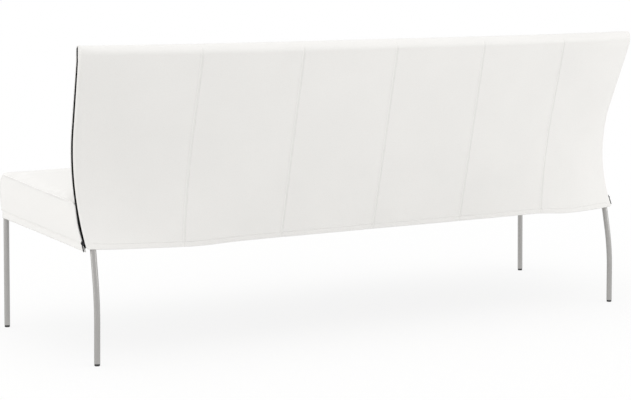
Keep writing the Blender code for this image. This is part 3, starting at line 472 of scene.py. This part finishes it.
LEATHER = 0.0024
rear_cover = sheet("rear_leather", rear_points(), white_leather, (0, 1, 0))
thicken(rear_cover, LEATHER)
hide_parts("rear_cover")
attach(rear_cover, "sofa")


def directions(points):
    """Unit directions along a path of points."""
    along = np.gradient(points, axis=0)
    return along / np.linalg.norm(along, axis=1, keepdims=True)


def evenly(points, pitch):
    """Points at an even pitch along a path."""
    gap = np.linalg.norm(np.diff(points, axis=0), axis=1)
    run = np.concatenate([[0.0], np.cumsum(gap)])
    at = np.arange(pitch / 2, run[-1], pitch)
    return np.stack([np.interp(at, run, points[:, k]) for k in range(3)], axis=1)


def rings(count, points):
    """Faces of a closed bar: some rings of an even number of points each, and a lid at each end."""
    index = np.arange(count * points).reshape(count, points)
    pair = np.arange(points // 2 - 1)
    lid = np.stack([pair, pair + 1, points - 2 - pair, points - 1 - pair], axis=1)
    wall = quads(np.concatenate([index, index[:, :1]], axis=1))
    return np.concatenate([wall, lid[:, ::-1], lid + index[-1, 0]])


thread = finish("white_thread", [("Noise", 2400.0, {}, {})], (0.66, 0.655, 0.64),
                (0.82, 0.815, 0.80), (0.7, 0.7))
STITCH_PITCH, STITCH_LENGTH, STITCH_RADIUS, STITCH_SIDES = 0.0042, 0.0031, 0.00035, 6


def stitches(name, paths):
    """Sewing thread: a short rounded stitch at each pitch along each path.

    A path is its points and the direction that the leather faces there.
    """
    turn = np.linspace(0, 2 * math.pi, STITCH_SIDES, endpoint=False)
    station = np.array([-0.5, -0.32, 0.32, 0.5]) * STITCH_LENGTH
    girth = np.array([0.35, 1.0, 1.0, 0.35])[:, None] * STITCH_RADIUS
    shape = np.stack([np.repeat(station, STITCH_SIDES), (girth * np.cos(turn)).ravel(),
                      (girth * np.sin(turn)).ravel()], axis=1)
    points = []
    for path, out in paths:
        spots = evenly(path, STITCH_PITCH)
        t = directions(spots)
        n = np.array(out) - t * (t @ np.array(out))[:, None]
        n /= np.linalg.norm(n, axis=1, keepdims=True)
        axes = np.stack([t, np.cross(n, t), n], axis=1)
        points.append(spots[:, None] + shape @ axes)
    points = np.concatenate(points)
    first = len(shape) * np.arange(len(points))[:, None, None]
    faces = rings(len(station), STITCH_SIDES) + first
    return piece(name, points.reshape(-1, 3), faces.reshape(-1, 4), thread)


CLEAR = 0.0001


def rear_line(x, z):
    """Points just clear of the rear face at given x and heights."""
    relief = rear_relief(x, z)
    x = x + taper(x, z)
    return np.stack([x, rear_y(x, z) + relief + CLEAR, z], axis=-1)


SEAM_STITCH = 0.0045
climb = np.linspace(HEM + 0.017, SHOULDER + 0.002, 120)
rear_paths = [(rear_line(np.full_like(climb, seam + way * SEAM_STITCH), climb), (0, 1, 0))
              for seam in SEAMS for way in (1, -1)]
hem_x = np.linspace(-0.893, 0.893, 600)
hem_path = rear_line(hem_x, hem_line(hem_x, HALF) + HEM_TURN + 0.0002)
rear_paths.append((hem_path - np.array([0.0, 0.0007, 0.0]), (0, 1, 0)))
rear_thread = stitches("rear_stitching", rear_paths)
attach(rear_thread, "sofa")

# Back pad: a foam pad in white leather on the front of the back, which wraps round the end posts
# to the zips and over the top edge to meet the rear cover. Its panels follow the rear seams.
SEAT_Y, SEAT_Z, SEAT_RAKE = -0.3597, 0.477, 0.064


def seat_z(y):
    """Height of the seat's upper seam, which falls 64 mm a metre towards the back."""
    return SEAT_Z - SEAT_RAKE * (y - SEAT_Y)


def pad_columns(z):
    """Stations along rows of the back pad at heights z."""
    return columns(z, 0.016, NOSE, 18, 15)


PAD_ROWS, PAD_FOOT, REST_GAP = 60, 0.4415, 0.0008


def pad_points():
    """Front of the back as a grid: rows from the seat to the shoulder, then the round to the crest.

    The lowest row lies just above the seat's seam, found by going back and forth four times.
    """
    share = np.linspace(0, 1, PAD_ROWS)
    x = pad_columns(PAD_FOOT + share * (SHOULDER - PAD_FOOT))
    z = np.full_like(x, PAD_FOOT)
    for _ in range(4):
        z = seat_z(front_y(x, z)) + REST_GAP
    z = z + share[:, None] * (SHOULDER - z)
    inside = np.clip((end_x(z) - np.abs(x)) / 0.05, 0, 1)
    tuck = 0.010 * np.exp(-((z - z[:1]) / 0.010) ** 2)
    relief = seam_relief(nearest(x, SEAMS), 0.0026, 0.0030) + slack(x, z, 0.0010)
    relief = relief * inside
    x = x + taper(x, z)
    straight = np.stack([x, front_y(x, z) - relief + tuck * inside, z], axis=-1)
    return np.concatenate([straight, top_round(x[-1], -1, relief[-1])])


STRAP_BACK, POST_BACK, POST_IN = 0.0452, 0.0236, 0.055


def frame_face(x, z):
    """Front of the straps and posts, on which the pads lie: the straps less a fourth-power bow."""
    strap, post = middle_y(z) - STRAP_BACK, end_y(z) - POST_BACK
    return strap - (strap - post) * np.minimum(np.abs(x) / (end_x(z) - POST_IN), 1) ** 4


def pad_lining(outer):
    """Back of the pad: a face behind the front one, short of the straps, posts and top rail."""
    x, y, z = outer[..., 0], outer[..., 1], outer[..., 2]
    rail_low, rail_over = 0.8375, 0.838
    low_z = np.minimum(z, rail_low + (z - rail_low) * 0.6)
    side = np.minimum(np.abs(x), end_x(z) - 0.0255)
    depth = np.maximum(frame_face(x, z) - y, 0.0)
    over = np.clip((z - rail_over) / (CREST - rail_over), 0, 1)
    back = y + depth * (1 - over) * np.clip((end_x(z) - np.abs(x)) / NOSE, 0, 1) ** 0.5
    return np.stack([np.sign(x) * side, back + CLEAR, low_z], axis=-1)


def blown(points, sewn, towards, reach):
    """Leather over foam, as a cloth simulation: how far each point of a sheet moves, at most reach.

    The sheet is held where sewn is true and cut 1 % full, and a light pressure blows it out.
    """
    cut = sheet("blown_leather", points, white_leather, towards)
    cut.vertex_groups.new(name="sewn").add(np.flatnonzero(sewn).tolist(), 1.0, "REPLACE")
    cloth = cut.modifiers.new("blown", "CLOTH").settings
    cloth.vertex_group_mass = "sewn"
    cloth.shrink_min = -0.01
    cloth.use_pressure = True
    cloth.uniform_pressure_force = 4.0
    cloth.effector_weights.gravity = 0.0
    for step in range(1, 21):
        scene.frame_set(step)
    ended = np.empty(points.size, np.float32)
    settled = cut.evaluated_get(bpy.context.evaluated_depsgraph_get())
    settled.data.vertices.foreach_get("co", ended)
    moved = ended.reshape(points.shape) - points
    bpy.data.objects.remove(cut)
    scene.frame_set(1)
    size = np.maximum(np.linalg.norm(moved, axis=-1, keepdims=True), 1e-9)
    return moved / size * reach * np.tanh(size / reach)


def spread(moved, rows, chosen, places):
    """Carries moves from some rows and columns of a grid to all, in straight lines between them."""
    across = np.stack([[np.interp(places, places[chosen], line[:, k]) for k in range(3)]
                       for line in moved])
    down = np.arange(rows[-1] + 1)
    return np.stack([[np.interp(down, rows, across[:, k, c]) for k in range(3)]
                     for c in range(len(places))]).transpose(2, 0, 1)


ON_SEAM = 1e-6


def apart_from(places, marks, reach):
    """Which places lie on a mark or at least a reach away from every mark."""
    near = nearest(places, marks)
    return np.flatnonzero((near < ON_SEAM) | (near > reach))


pad_grid = pad_points()
pad_places = pad_columns(np.array([0.65]))[0]
pad_chosen = apart_from(pad_places, SEAMS, 0.0118)
pad_rows = np.arange(0, PAD_ROWS, 2)
pad_at = pad_places[pad_chosen]
pad_sewn = (np.abs(pad_at) > HALF - 0.04) | (nearest(pad_at, SEAMS) < ON_SEAM)
pad_sewn = pad_sewn | ((pad_rows < 4) | (pad_rows > PAD_ROWS - 4))[:, None]
pad_move = blown(pad_grid[pad_rows][:, pad_chosen], pad_sewn, (0, -1, 0), 0.005)
pad_grid[:pad_rows[-1] + 1] += spread(pad_move, pad_rows, pad_chosen, pad_places)
back_pad = between("back_pad", pad_grid, pad_lining(pad_grid), white_leather)
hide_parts("back_front_cover", "back_foam")
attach(back_pad, "sofa")


def beside(places, marks, offset):
    """Columns of a grid that run an offset to either side of each mark."""
    return [int(np.argmin(np.abs(places - mark - way * offset))) for mark in marks
            for way in (-1, 1)]


pad_paths = [(pad_grid[3:PAD_ROWS, column] - np.array([0.0, CLEAR, 0.0]), (0, -1, 0))
             for column in beside(pad_places, SEAMS, 0.0042)]
pad_thread = stitches("back_pad_stitching", pad_paths)
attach(pad_thread, "sofa")

# Seat: a foam cushion under a crowned leather top, with leather borders sewn on below a piped edge.
# Each border has a lower seam, and its lip is pulled under the frame.
BASE_Z, BASE_RAKE, LIP_Z = 0.355, 0.0426, 0.340


def base_z(y):
    """Underside of the seat's wooden frame, which falls 43 mm a metre towards the back."""
    return BASE_Z - BASE_RAKE * (y - SEAT_Y)


def border_z(y, share):
    """Height on a border: from its lip (0) to the piping under the top panel's edge (1)."""
    low = LIP_Z - BASE_RAKE * (y - SEAT_Y)
    return low + share * (seat_z(y) - 0.0018 - low)


def zip_opening(z):
    """How far a seat end's edge draws away from the zip: a swell of 9 mm, widest 382 mm up."""
    return 0.009 * np.exp(-((z - 0.382) / 0.044) ** 2)


def end_slope(z):
    """How far the ends' side profile leans back for each metre of height at height z."""
    return (end_y(z + 1e-4) - end_y(z - 1e-4)) / 2e-4


def side_rear(share):
    """Where a seat end meets the zip at a share of the border's height: half width and depth."""
    y = np.full_like(share, 0.15)
    for _ in range(8):
        z = border_z(y, share)
        y = end_y(z) - (ZIP_EDGE + SEWN_GAP + zip_opening(z)) * np.hypot(1, end_slope(z))
    return end_x(border_z(y, share)), y


def front_corner(share):
    """Radius of the seat's front corners and line of its front at a share of the border's height.

    Over the last 30 % the front rolls back by 15 mm and the corners widen by 16 mm.
    """
    rolled = quarter((share - 0.70) / 0.30)
    return 0.018 + 0.016 * rolled, SEAT_Y + 0.015 * rolled


SEAT_HALF = 0.968
LOWER_SEAM = 0.021 / 0.137


def border_swell(share):
    """Border section: drawn in at both seams, full between them, with its lip set back below."""
    up = np.clip((share - LOWER_SEAM) / (1 - LOWER_SEAM), 0, 1)
    panel = 0.0032 * np.sin(math.pi * up) ** 0.6
    panel -= 0.0010 * np.exp(-((share - LOWER_SEAM) / 0.018) ** 2)
    lip = -0.0014 - 0.0018 * (share / LOWER_SEAM) ** 2
    return np.where(share < LOWER_SEAM, lip, panel) - 0.0008 * np.exp(-((share - 1) / 0.02) ** 2)


SEAM_ROWS = np.array([-0.03, -0.02, -0.01, -0.005, 0, 0.005, 0.01, 0.02, 0.03])
border_share = np.sort(np.concatenate([np.linspace(0, 1, 40), LOWER_SEAM + SEAM_ROWS]))[:, None]
DEEPEST = -0.0039


def front_border_points(inset):
    """Front border: along the front and round both corners, at every share of its height."""
    swell = np.maximum(border_swell(border_share) - inset, DEEPEST)
    radius, front = front_corner(border_share)
    run = np.linspace(0, 1, 70)
    turn = np.linspace(0, math.pi / 2, 14)[1:]
    bend_x = SEAT_HALF - radius + (radius + swell) * np.sin(turn)
    bend_y = front + radius - (radius + swell) * np.cos(turn)
    x = np.concatenate([(SEAT_HALF - radius) * run, bend_x], axis=1)
    y = np.concatenate([front - swell + 0 * run, bend_y], axis=1)
    x = np.concatenate([-x[:, :0:-1], x], axis=1)
    y = np.concatenate([y[:, :0:-1], y], axis=1)
    return np.stack([x, y, border_z(y, border_share)], axis=-1)


def end_border_points(side, inset):
    """End border: a ruled panel from the front corner to the zip, full in its middle."""
    rear_x, rear_edge = side_rear(border_share)
    along = np.linspace(0, 1, 60)
    radius, front = front_corner(border_share)
    start = front + radius + SEWN_GAP
    y = start + (rear_edge - start) * along
    swell = np.maximum(border_swell(border_share) * (1 - along ** 6) - inset, DEEPEST)
    uneven = slack(y * 2.0, border_share * 0.3, 0.0006) * np.sin(math.pi * along)
    x = SEAT_HALF + (rear_x - SEAT_HALF) * along + swell + uneven * (1 - border_share ** 6)
    return np.stack([side * x, y, border_z(y, border_share)], axis=-1)


front_border = between("seat_front_border_leather", front_border_points(0.0),
                       front_border_points(LEATHER), white_leather)
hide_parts("seat_front_border")
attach(front_border, "sofa")
ENDS = ((1, "left"), (-1, "right"))
for side, hand in ENDS:
    end_border = between(f"seat_end_border_leather_{hand}", end_border_points(side, 0.0),
                         end_border_points(side, LEATHER), white_leather)
    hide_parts(f"seat_end_border_{hand}")
    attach(end_border, "sofa")

SEAT_SEAMS = np.array([-0.66, -0.33, 0.0, 0.33, 0.66])
MIDDLE, CROWN = 0.70, 0.013
RAIL_Z, RAIL_BACK = 0.378, 0.046


def seat_points():
    """Seat top as a grid: raked, crowned in both directions, with grooves at the panel seams.

    Rows run from the front to the back pad, and one more goes on under it to the frame and zips.
    """
    turn = np.sin(np.linspace(0, math.pi / 2, 26))
    inner = fine_steps(MIDDLE, SEAT_SEAMS[2:], 0.015, 0.010)
    across = np.concatenate([inner, MIDDLE + (1 - MIDDLE) * turn[1:]])
    across = np.concatenate([-across[:0:-1], across])
    level = float(seat_z(0.15))
    reach = across * (end_x(level) - 0.003)
    meet = front_y(reach, level) - 0.002
    front_part = 0.6 * (1 - np.cos(np.linspace(0, math.pi / 2, 40)[:-1]))
    f = np.concatenate([front_part, 0.6 + 0.4 * turn, [1.0]])[:, None]
    corner, front = front_corner(1.0)
    y = front + (meet - front) * f
    rear_x, rear_edge = side_rear(np.array([1.0]))
    back = np.minimum(frame_face(reach, level), middle_y(RAIL_Z) - RAIL_BACK) - REST_GAP
    y[-1] = np.maximum(back, np.minimum(meet + 0.012, rear_edge - 0.0005))
    straight = front + corner
    side = np.maximum((y - straight) / (rear_edge - straight), 0)
    side = SEAT_HALF + (rear_x - SEAT_HALF) * side
    x = across * (side - np.abs(across) ** 14 * corner * quarter((straight - y) / corner))
    crown = CROWN * (1 - (2 * f - 1) ** 4) * (1 - np.abs(across) ** 6)
    groove = seam_relief(nearest(across, SEAT_SEAMS) * 0.95, 0.0022, 0.003, 0.0016, 0.05)
    groove = groove * np.minimum(1, 12 * f * (1 - f))
    uneven = slack(x * 1.3, y * 1.6, 0.0012) * np.minimum(1, 8 * f * (1 - f))
    return np.stack([x, y, seat_z(y) + crown + groove + uneven], axis=-1)


seat_grid = seat_points()
seat_places = seat_grid[30, :, 0].copy()
seat_share = seat_places / seat_places[-1]
seat_marks = seat_places[np.argmin(np.abs(seat_share[:, None] - SEAT_SEAMS), axis=0)]
seat_chosen = apart_from(seat_places, seat_marks, 0.0090)
seat_rows = np.concatenate([[0, 8], np.arange(12, 58, 2), [59, 62]])
seat_at = seat_places[seat_chosen]
seat_sewn = (nearest(seat_at, seat_marks) < ON_SEAM) | (np.abs(seat_at) > SEAT_HALF - 0.03)
seat_sewn = seat_sewn | ((seat_rows < 9) | (seat_rows > 58))[:, None]
seat_move = blown(seat_grid[seat_rows][:, seat_chosen], seat_sewn, (0, 0, 1), 0.006)
seat_grid[:seat_rows[-1] + 1] += spread(seat_move, seat_rows, seat_chosen, seat_places)
STRAP_TOP, THINNEST, DRAWN_IN = 0.0478, 0.004, 0.9965
seat_under = seat_grid * np.array([DRAWN_IN, DRAWN_IN, 1.0])
seat_under[..., 2] = np.minimum(base_z(seat_grid[..., 1]) + STRAP_TOP,
                                seat_grid[..., 2] - THINNEST)
seat_edge = np.zeros(seat_grid.shape[:2], bool)
seat_edge[0, :] = seat_edge[:, 0] = seat_edge[:, -1] = True
seat_under[seat_edge, 2] = seat_grid[seat_edge, 2] - LEATHER
seat_pad = between("seat_pad", seat_grid, seat_under, white_leather)
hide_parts("seat_top_panel", "seat_foam")
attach(seat_pad, "sofa")
seat_paths = [(seat_grid[4:62, column] + np.array([0.0, 0.0, CLEAR]), (0, 0, 1))
              for column in beside(seat_places, seat_marks, 0.0034)]
seat_thread = stitches("seat_pad_stitching", seat_paths)
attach(seat_thread, "sofa")

# Seat edge: a thin leather piping sewn between the top panel and the borders, from one zip round
# the front to the other. A row of stitches holds the borders' lower seam, above the lip.
PIPING_RADIUS = 0.0022


def tube(name, path, radius, look, square_to, sides):
    """A round cord or bar with flat ends: a circle carried along a path across square_to."""
    t = directions(path)
    n = np.cross(t, square_to)
    n /= np.linalg.norm(n, axis=1, keepdims=True)
    b = np.cross(t, n)
    turn = np.linspace(0, 2 * math.pi, sides, endpoint=False)[:, None]
    points = path[:, None] + radius * (n[:, None] * np.cos(turn) + b[:, None] * np.sin(turn))
    return piece(name, points.reshape(-1, 3), rings(len(path), sides), look)


zip_x, zip_y = (float(part[0]) for part in side_rear(np.array([1.0])))
at_zip = np.array([[zip_x, zip_y, seat_z(zip_y)]])
edge_path = np.concatenate([at_zip * np.array([-1, 1, 1]), seat_grid[-2:0:-1, 0], seat_grid[0],
                            seat_grid[1:-1, -1], at_zip])
apart = np.concatenate([[1.0], np.linalg.norm(np.diff(edge_path, axis=0), axis=1)])
edge_path = edge_path[apart > 1e-5]
edge_path = np.concatenate([edge_path[:1], evenly(edge_path, 0.004), edge_path[-1:]])
aside = np.cross(directions(edge_path), (0.0, 0.0, 1.0))
aside *= np.sign(np.sum(aside * (edge_path - edge_path.mean(axis=0)), axis=1))[:, None]
edge_path += 0.0007 * aside - np.array([0.0, 0.0, 0.0016])
seat_piping = tube("seat_piping", edge_path, PIPING_RADIUS, white_leather, (0.0, 0.0, 1.0), 10)
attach(seat_piping, "sofa")

seam_row = int(np.argmin(np.abs(border_share - LOWER_SEAM - SEAM_ROWS[-1])))
border_paths = [(front_border_points(-CLEAR)[seam_row], (0, -1, 0))]
border_paths += [(end_border_points(side, -CLEAR)[seam_row], (side, 0, 0)) for side, _ in ENDS]
border_thread = stitches("border_stitching", border_paths)
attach(border_thread, "sofa")

# Dust cloth: thin black non-woven cloth stapled under the seat frame between the leg plates.
# It sags a few millimetres between the rails.
cloth_black = finish("dust_cloth_black", [("Noise", 700.0, {"Detail": 5.0}, {})],
                     (0.012, 0.012, 0.013), (0.045, 0.045, 0.048), (0.95, 0.95), (0.4, 0.0004))
CLOTH_STOPS = np.array([-0.350, -0.2895, -0.2885, 0.1640, 0.1652, 0.190])
CLOTH_HALVES = np.array([0.8975, 0.8975, 0.9480, 0.9015, 0.828, 0.828])


def cloth_points():
    """Cloth as a grid: rows that step in beside the leg plates, hung with a shallow sag."""
    y = np.concatenate([np.linspace(*CLOTH_STOPS[k:k + 2], count)
                        for k, count in ((0, 8), (2, 46), (4, 6))])[:, None]
    x = np.interp(y, CLOTH_STOPS, CLOTH_HALVES) * np.linspace(-1, 1, 120)
    deep = np.sin(math.pi * (y - CLOTH_STOPS[0]) / (CLOTH_STOPS[-1] - CLOTH_STOPS[0]))
    sag = 0.0035 * np.abs(np.sin(0.75 * math.pi * (x / 0.78 + 1))) ** 0.7
    z = base_z(y) - 0.0004 - deep * (sag + 0.0004 * np.sin(23 * x + 9 * y))
    return np.stack([x, y + 0 * x, z], axis=-1)


dust_cloth = sheet("dust_cloth_sheet", cloth_points(), cloth_black, (0, 0, -1))
thicken(dust_cloth, 0.0006, 1.0)
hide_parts("dust_cloth")
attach(dust_cloth, "sofa")

# Zips: black woven tape and two interlocked rows of teeth along each end of the back, up to the
# crest. A die-cast slider with a hanging pull closes each one from the bottom; its edges are eased.
zip_black = finish("zip_tape_black", [("Wave", 420.0, {}, {"bands_direction": "Z"})],
                   (0.003, 0.003, 0.0035), (0.011, 0.011, 0.0125), (0.9, 0.9), (0.5, 0.0003),
                   Specular_IOR_Level=0.05)
refinish("zip_tape", zip_black)


def facing_points(side):
    """Facing strip behind a zip: the end's profile, 2.6 mm under the leather, 8 mm to both sides.

    It is wider where the zip opens beside the seat, and narrows to 4.5 mm at the rounded top.
    """
    z = np.linspace(0.3275, 0.8825, 150)[:, None]
    reach = 0.0080 - 0.0035 * np.clip((z - 0.80) / 0.05, 0, 1)
    forward = reach + 1.4 * zip_opening(z)
    across = np.linspace(-1, 1, 9)
    y = end_y(z) + np.where(across < 0, forward, reach) * across
    return np.stack([side * (end_x(z) - 0.0026) + 0 * y, y, z + 0 * y], axis=-1)


for side, hand in ENDS:
    facing = sheet(f"zip_facing_{hand}", facing_points(side), zip_black, (side, 0, 0))
    thicken(facing, 0.0003)
    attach(facing, "sofa")

zip_metal = finish("zip_black_metal", [("Noise", 600.0, {"Detail": 4.0}, {})],
                   (0.011, 0.011, 0.012), (0.040, 0.040, 0.043), (0.28, 0.5), Metallic=0.8)
for cast in ("zip_slider", "zip_pull"):
    refinish(cast, zip_metal)
    for hand in ("left", "right"):
        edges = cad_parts[f"{cast}_{hand}"].modifiers.new("eased_edges", "BEVEL")
        edges.width = 0.0003
        edges.segments = 2
        edges.limit_method = "ANGLE"

nylon = finish("zip_teeth_nylon", [("Noise", 900.0, {}, {})], (0.002, 0.002, 0.0025),
               (0.008, 0.008, 0.009), (0.5, 0.65), Specular_IOR_Level=0.08)
TOOTH_EDGE = np.array([[-0.3, 0.45], [0.0, 0.72], [0.6, 0.72], [1.0, 0.45], [1.6, 0.45],
                       [2.0, 0.80], [2.5, 0.80]]) * 0.001
TOOTH_LEVELS = ((0.0, 1.0), (0.0015, 1.0), (0.0020, 0.82))
TOOTH_PITCH, TOOTH_SINK = 0.0014, 0.0006


def teeth_points(side):
    """Moulded teeth: a head, neck and foot outline, raised with an eased top, set in turn.

    Each tooth stands square to the end's profile, whose frame is up along it, back across it and
    out of it. Every second one points the other way, and its faces are turned to look outward.
    """
    outline = np.concatenate([TOOTH_EDGE, TOOTH_EDGE[::-1] * np.array([1, -1])])
    centre = outline.mean(axis=0)
    z = np.arange(0.3285, 0.8815, TOOTH_PITCH)
    lengthen = math.hypot(1, FLARE)
    tilt = np.array([FLARE, 0.0, 1.0]) / lengthen
    out = np.array([1.0, 0.0, -FLARE]) / lengthen
    slope = (end_slope(z) / lengthen)[:, None]
    up = tilt + slope * np.array([0.0, 1.0, 0.0])
    up /= np.linalg.norm(up, axis=1, keepdims=True)
    back = np.array([0.0, 1.0, 0.0]) - slope * tilt
    back /= np.linalg.norm(back, axis=1, keepdims=True)
    way = np.where(np.arange(len(z)) % 2, 1.0, -1.0)
    base = np.stack([end_x(z), end_y(z), z], axis=1) - TOOTH_SINK * out
    layers = []
    for rise, scale in TOOTH_LEVELS:
        flat = centre + (outline - centre) * scale
        layers.append((base + rise * out)[:, None] + up[:, None] * flat[:, 1:]
                      + (back * way[:, None])[:, None] * flat[:, :1])
    points = np.stack(layers, axis=1)
    first = len(outline) * len(TOOTH_LEVELS) * np.arange(len(z))[:, None, None]
    faces = rings(len(TOOTH_LEVELS), len(outline)) + first
    faces[way == side] = faces[way == side][:, :, ::-1]
    return points.reshape(-1, 3) * np.array([side, 1, 1]), faces.reshape(-1, 4)


for side, hand in ENDS:
    teeth = piece(f"zip_teeth_moulded_{hand}", *teeth_points(side), nylon, smooth=False)
    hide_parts(f"zip_teeth_{hand}")
    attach(teeth, "sofa")

# Legs: satin steel tube, the rear pair bowed, each on a small black glide.
# Each is welded to a plate, which two zinc-plated screws hold under the frame.
steel = finish("satin_steel", [("Noise", 1.0, {"Detail": 5.0}, {})], (0.35, 0.343, 0.333),
               (0.48, 0.472, 0.46), (0.30, 0.46), (0.06, 0.0002), (900.0, 900.0, 14.0),
               Metallic=1.0)
refinish("leg", steel)
LEG_RADIUS, LEG_FOOT, LEG_SPLAY = 0.0086, 0.0063, 0.0065
LEG_BEND_Z, LEG_LEAN = 0.115, 0.22


def leg_points(place, top, bow):
    """Centre line of a leg: it splays out by 6.5 mm towards the floor, and may bow.

    A bowed one bends evenly from 115 mm up until it leans forward 220 mm a metre.
    """
    z = np.concatenate([[LEG_FOOT, LEG_FOOT + 0.0003], np.linspace(0.012, top - 0.006, 60),
                        [top - 0.0003, top]])
    bend = 2 * (LEG_LEAN * (top - LEG_BEND_Z) - bow) / LEG_LEAN
    above = z - LEG_BEND_Z
    lean = LEG_LEAN * (np.clip(above, 0, bend) ** 2 / (2 * bend) + np.maximum(above - bend, 0))
    y = place[1] + (bow - lean if bow else 0 * z)
    return np.stack([place[0] + LEG_SPLAY * (1 - z / top), y, z], axis=1)


for end, place, top, bow in (("front", (0.9545, -0.3437), 0.3490, 0.0),
                             ("rear", (0.889, 0.2139), 0.3245, 0.0316)):
    for side, hand in ENDS:
        leg_line = leg_points(place, top, bow) * np.array([side, 1, 1])
        leg = tube(f"{end}_leg_tube_{hand}", leg_line, LEG_RADIUS, steel, (1.0, 0.0, 0.0), 28)
        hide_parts(f"{end}_leg_{hand}")
        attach(leg, "sofa")

glide_black = finish("glide_plastic", [("Noise", 420.0, {"Detail": 4.0}, {})],
                     (0.010, 0.010, 0.011), (0.050, 0.050, 0.052), (0.45, 0.7))
refinish("glide", glide_black)
zinc = finish("zinc_plate", [("Voronoi", 800.0, {}, {})], (0.50, 0.50, 0.50),
              (0.66, 0.66, 0.64), (0.32, 0.5), Metallic=1.0)
refinish("screw", zinc)
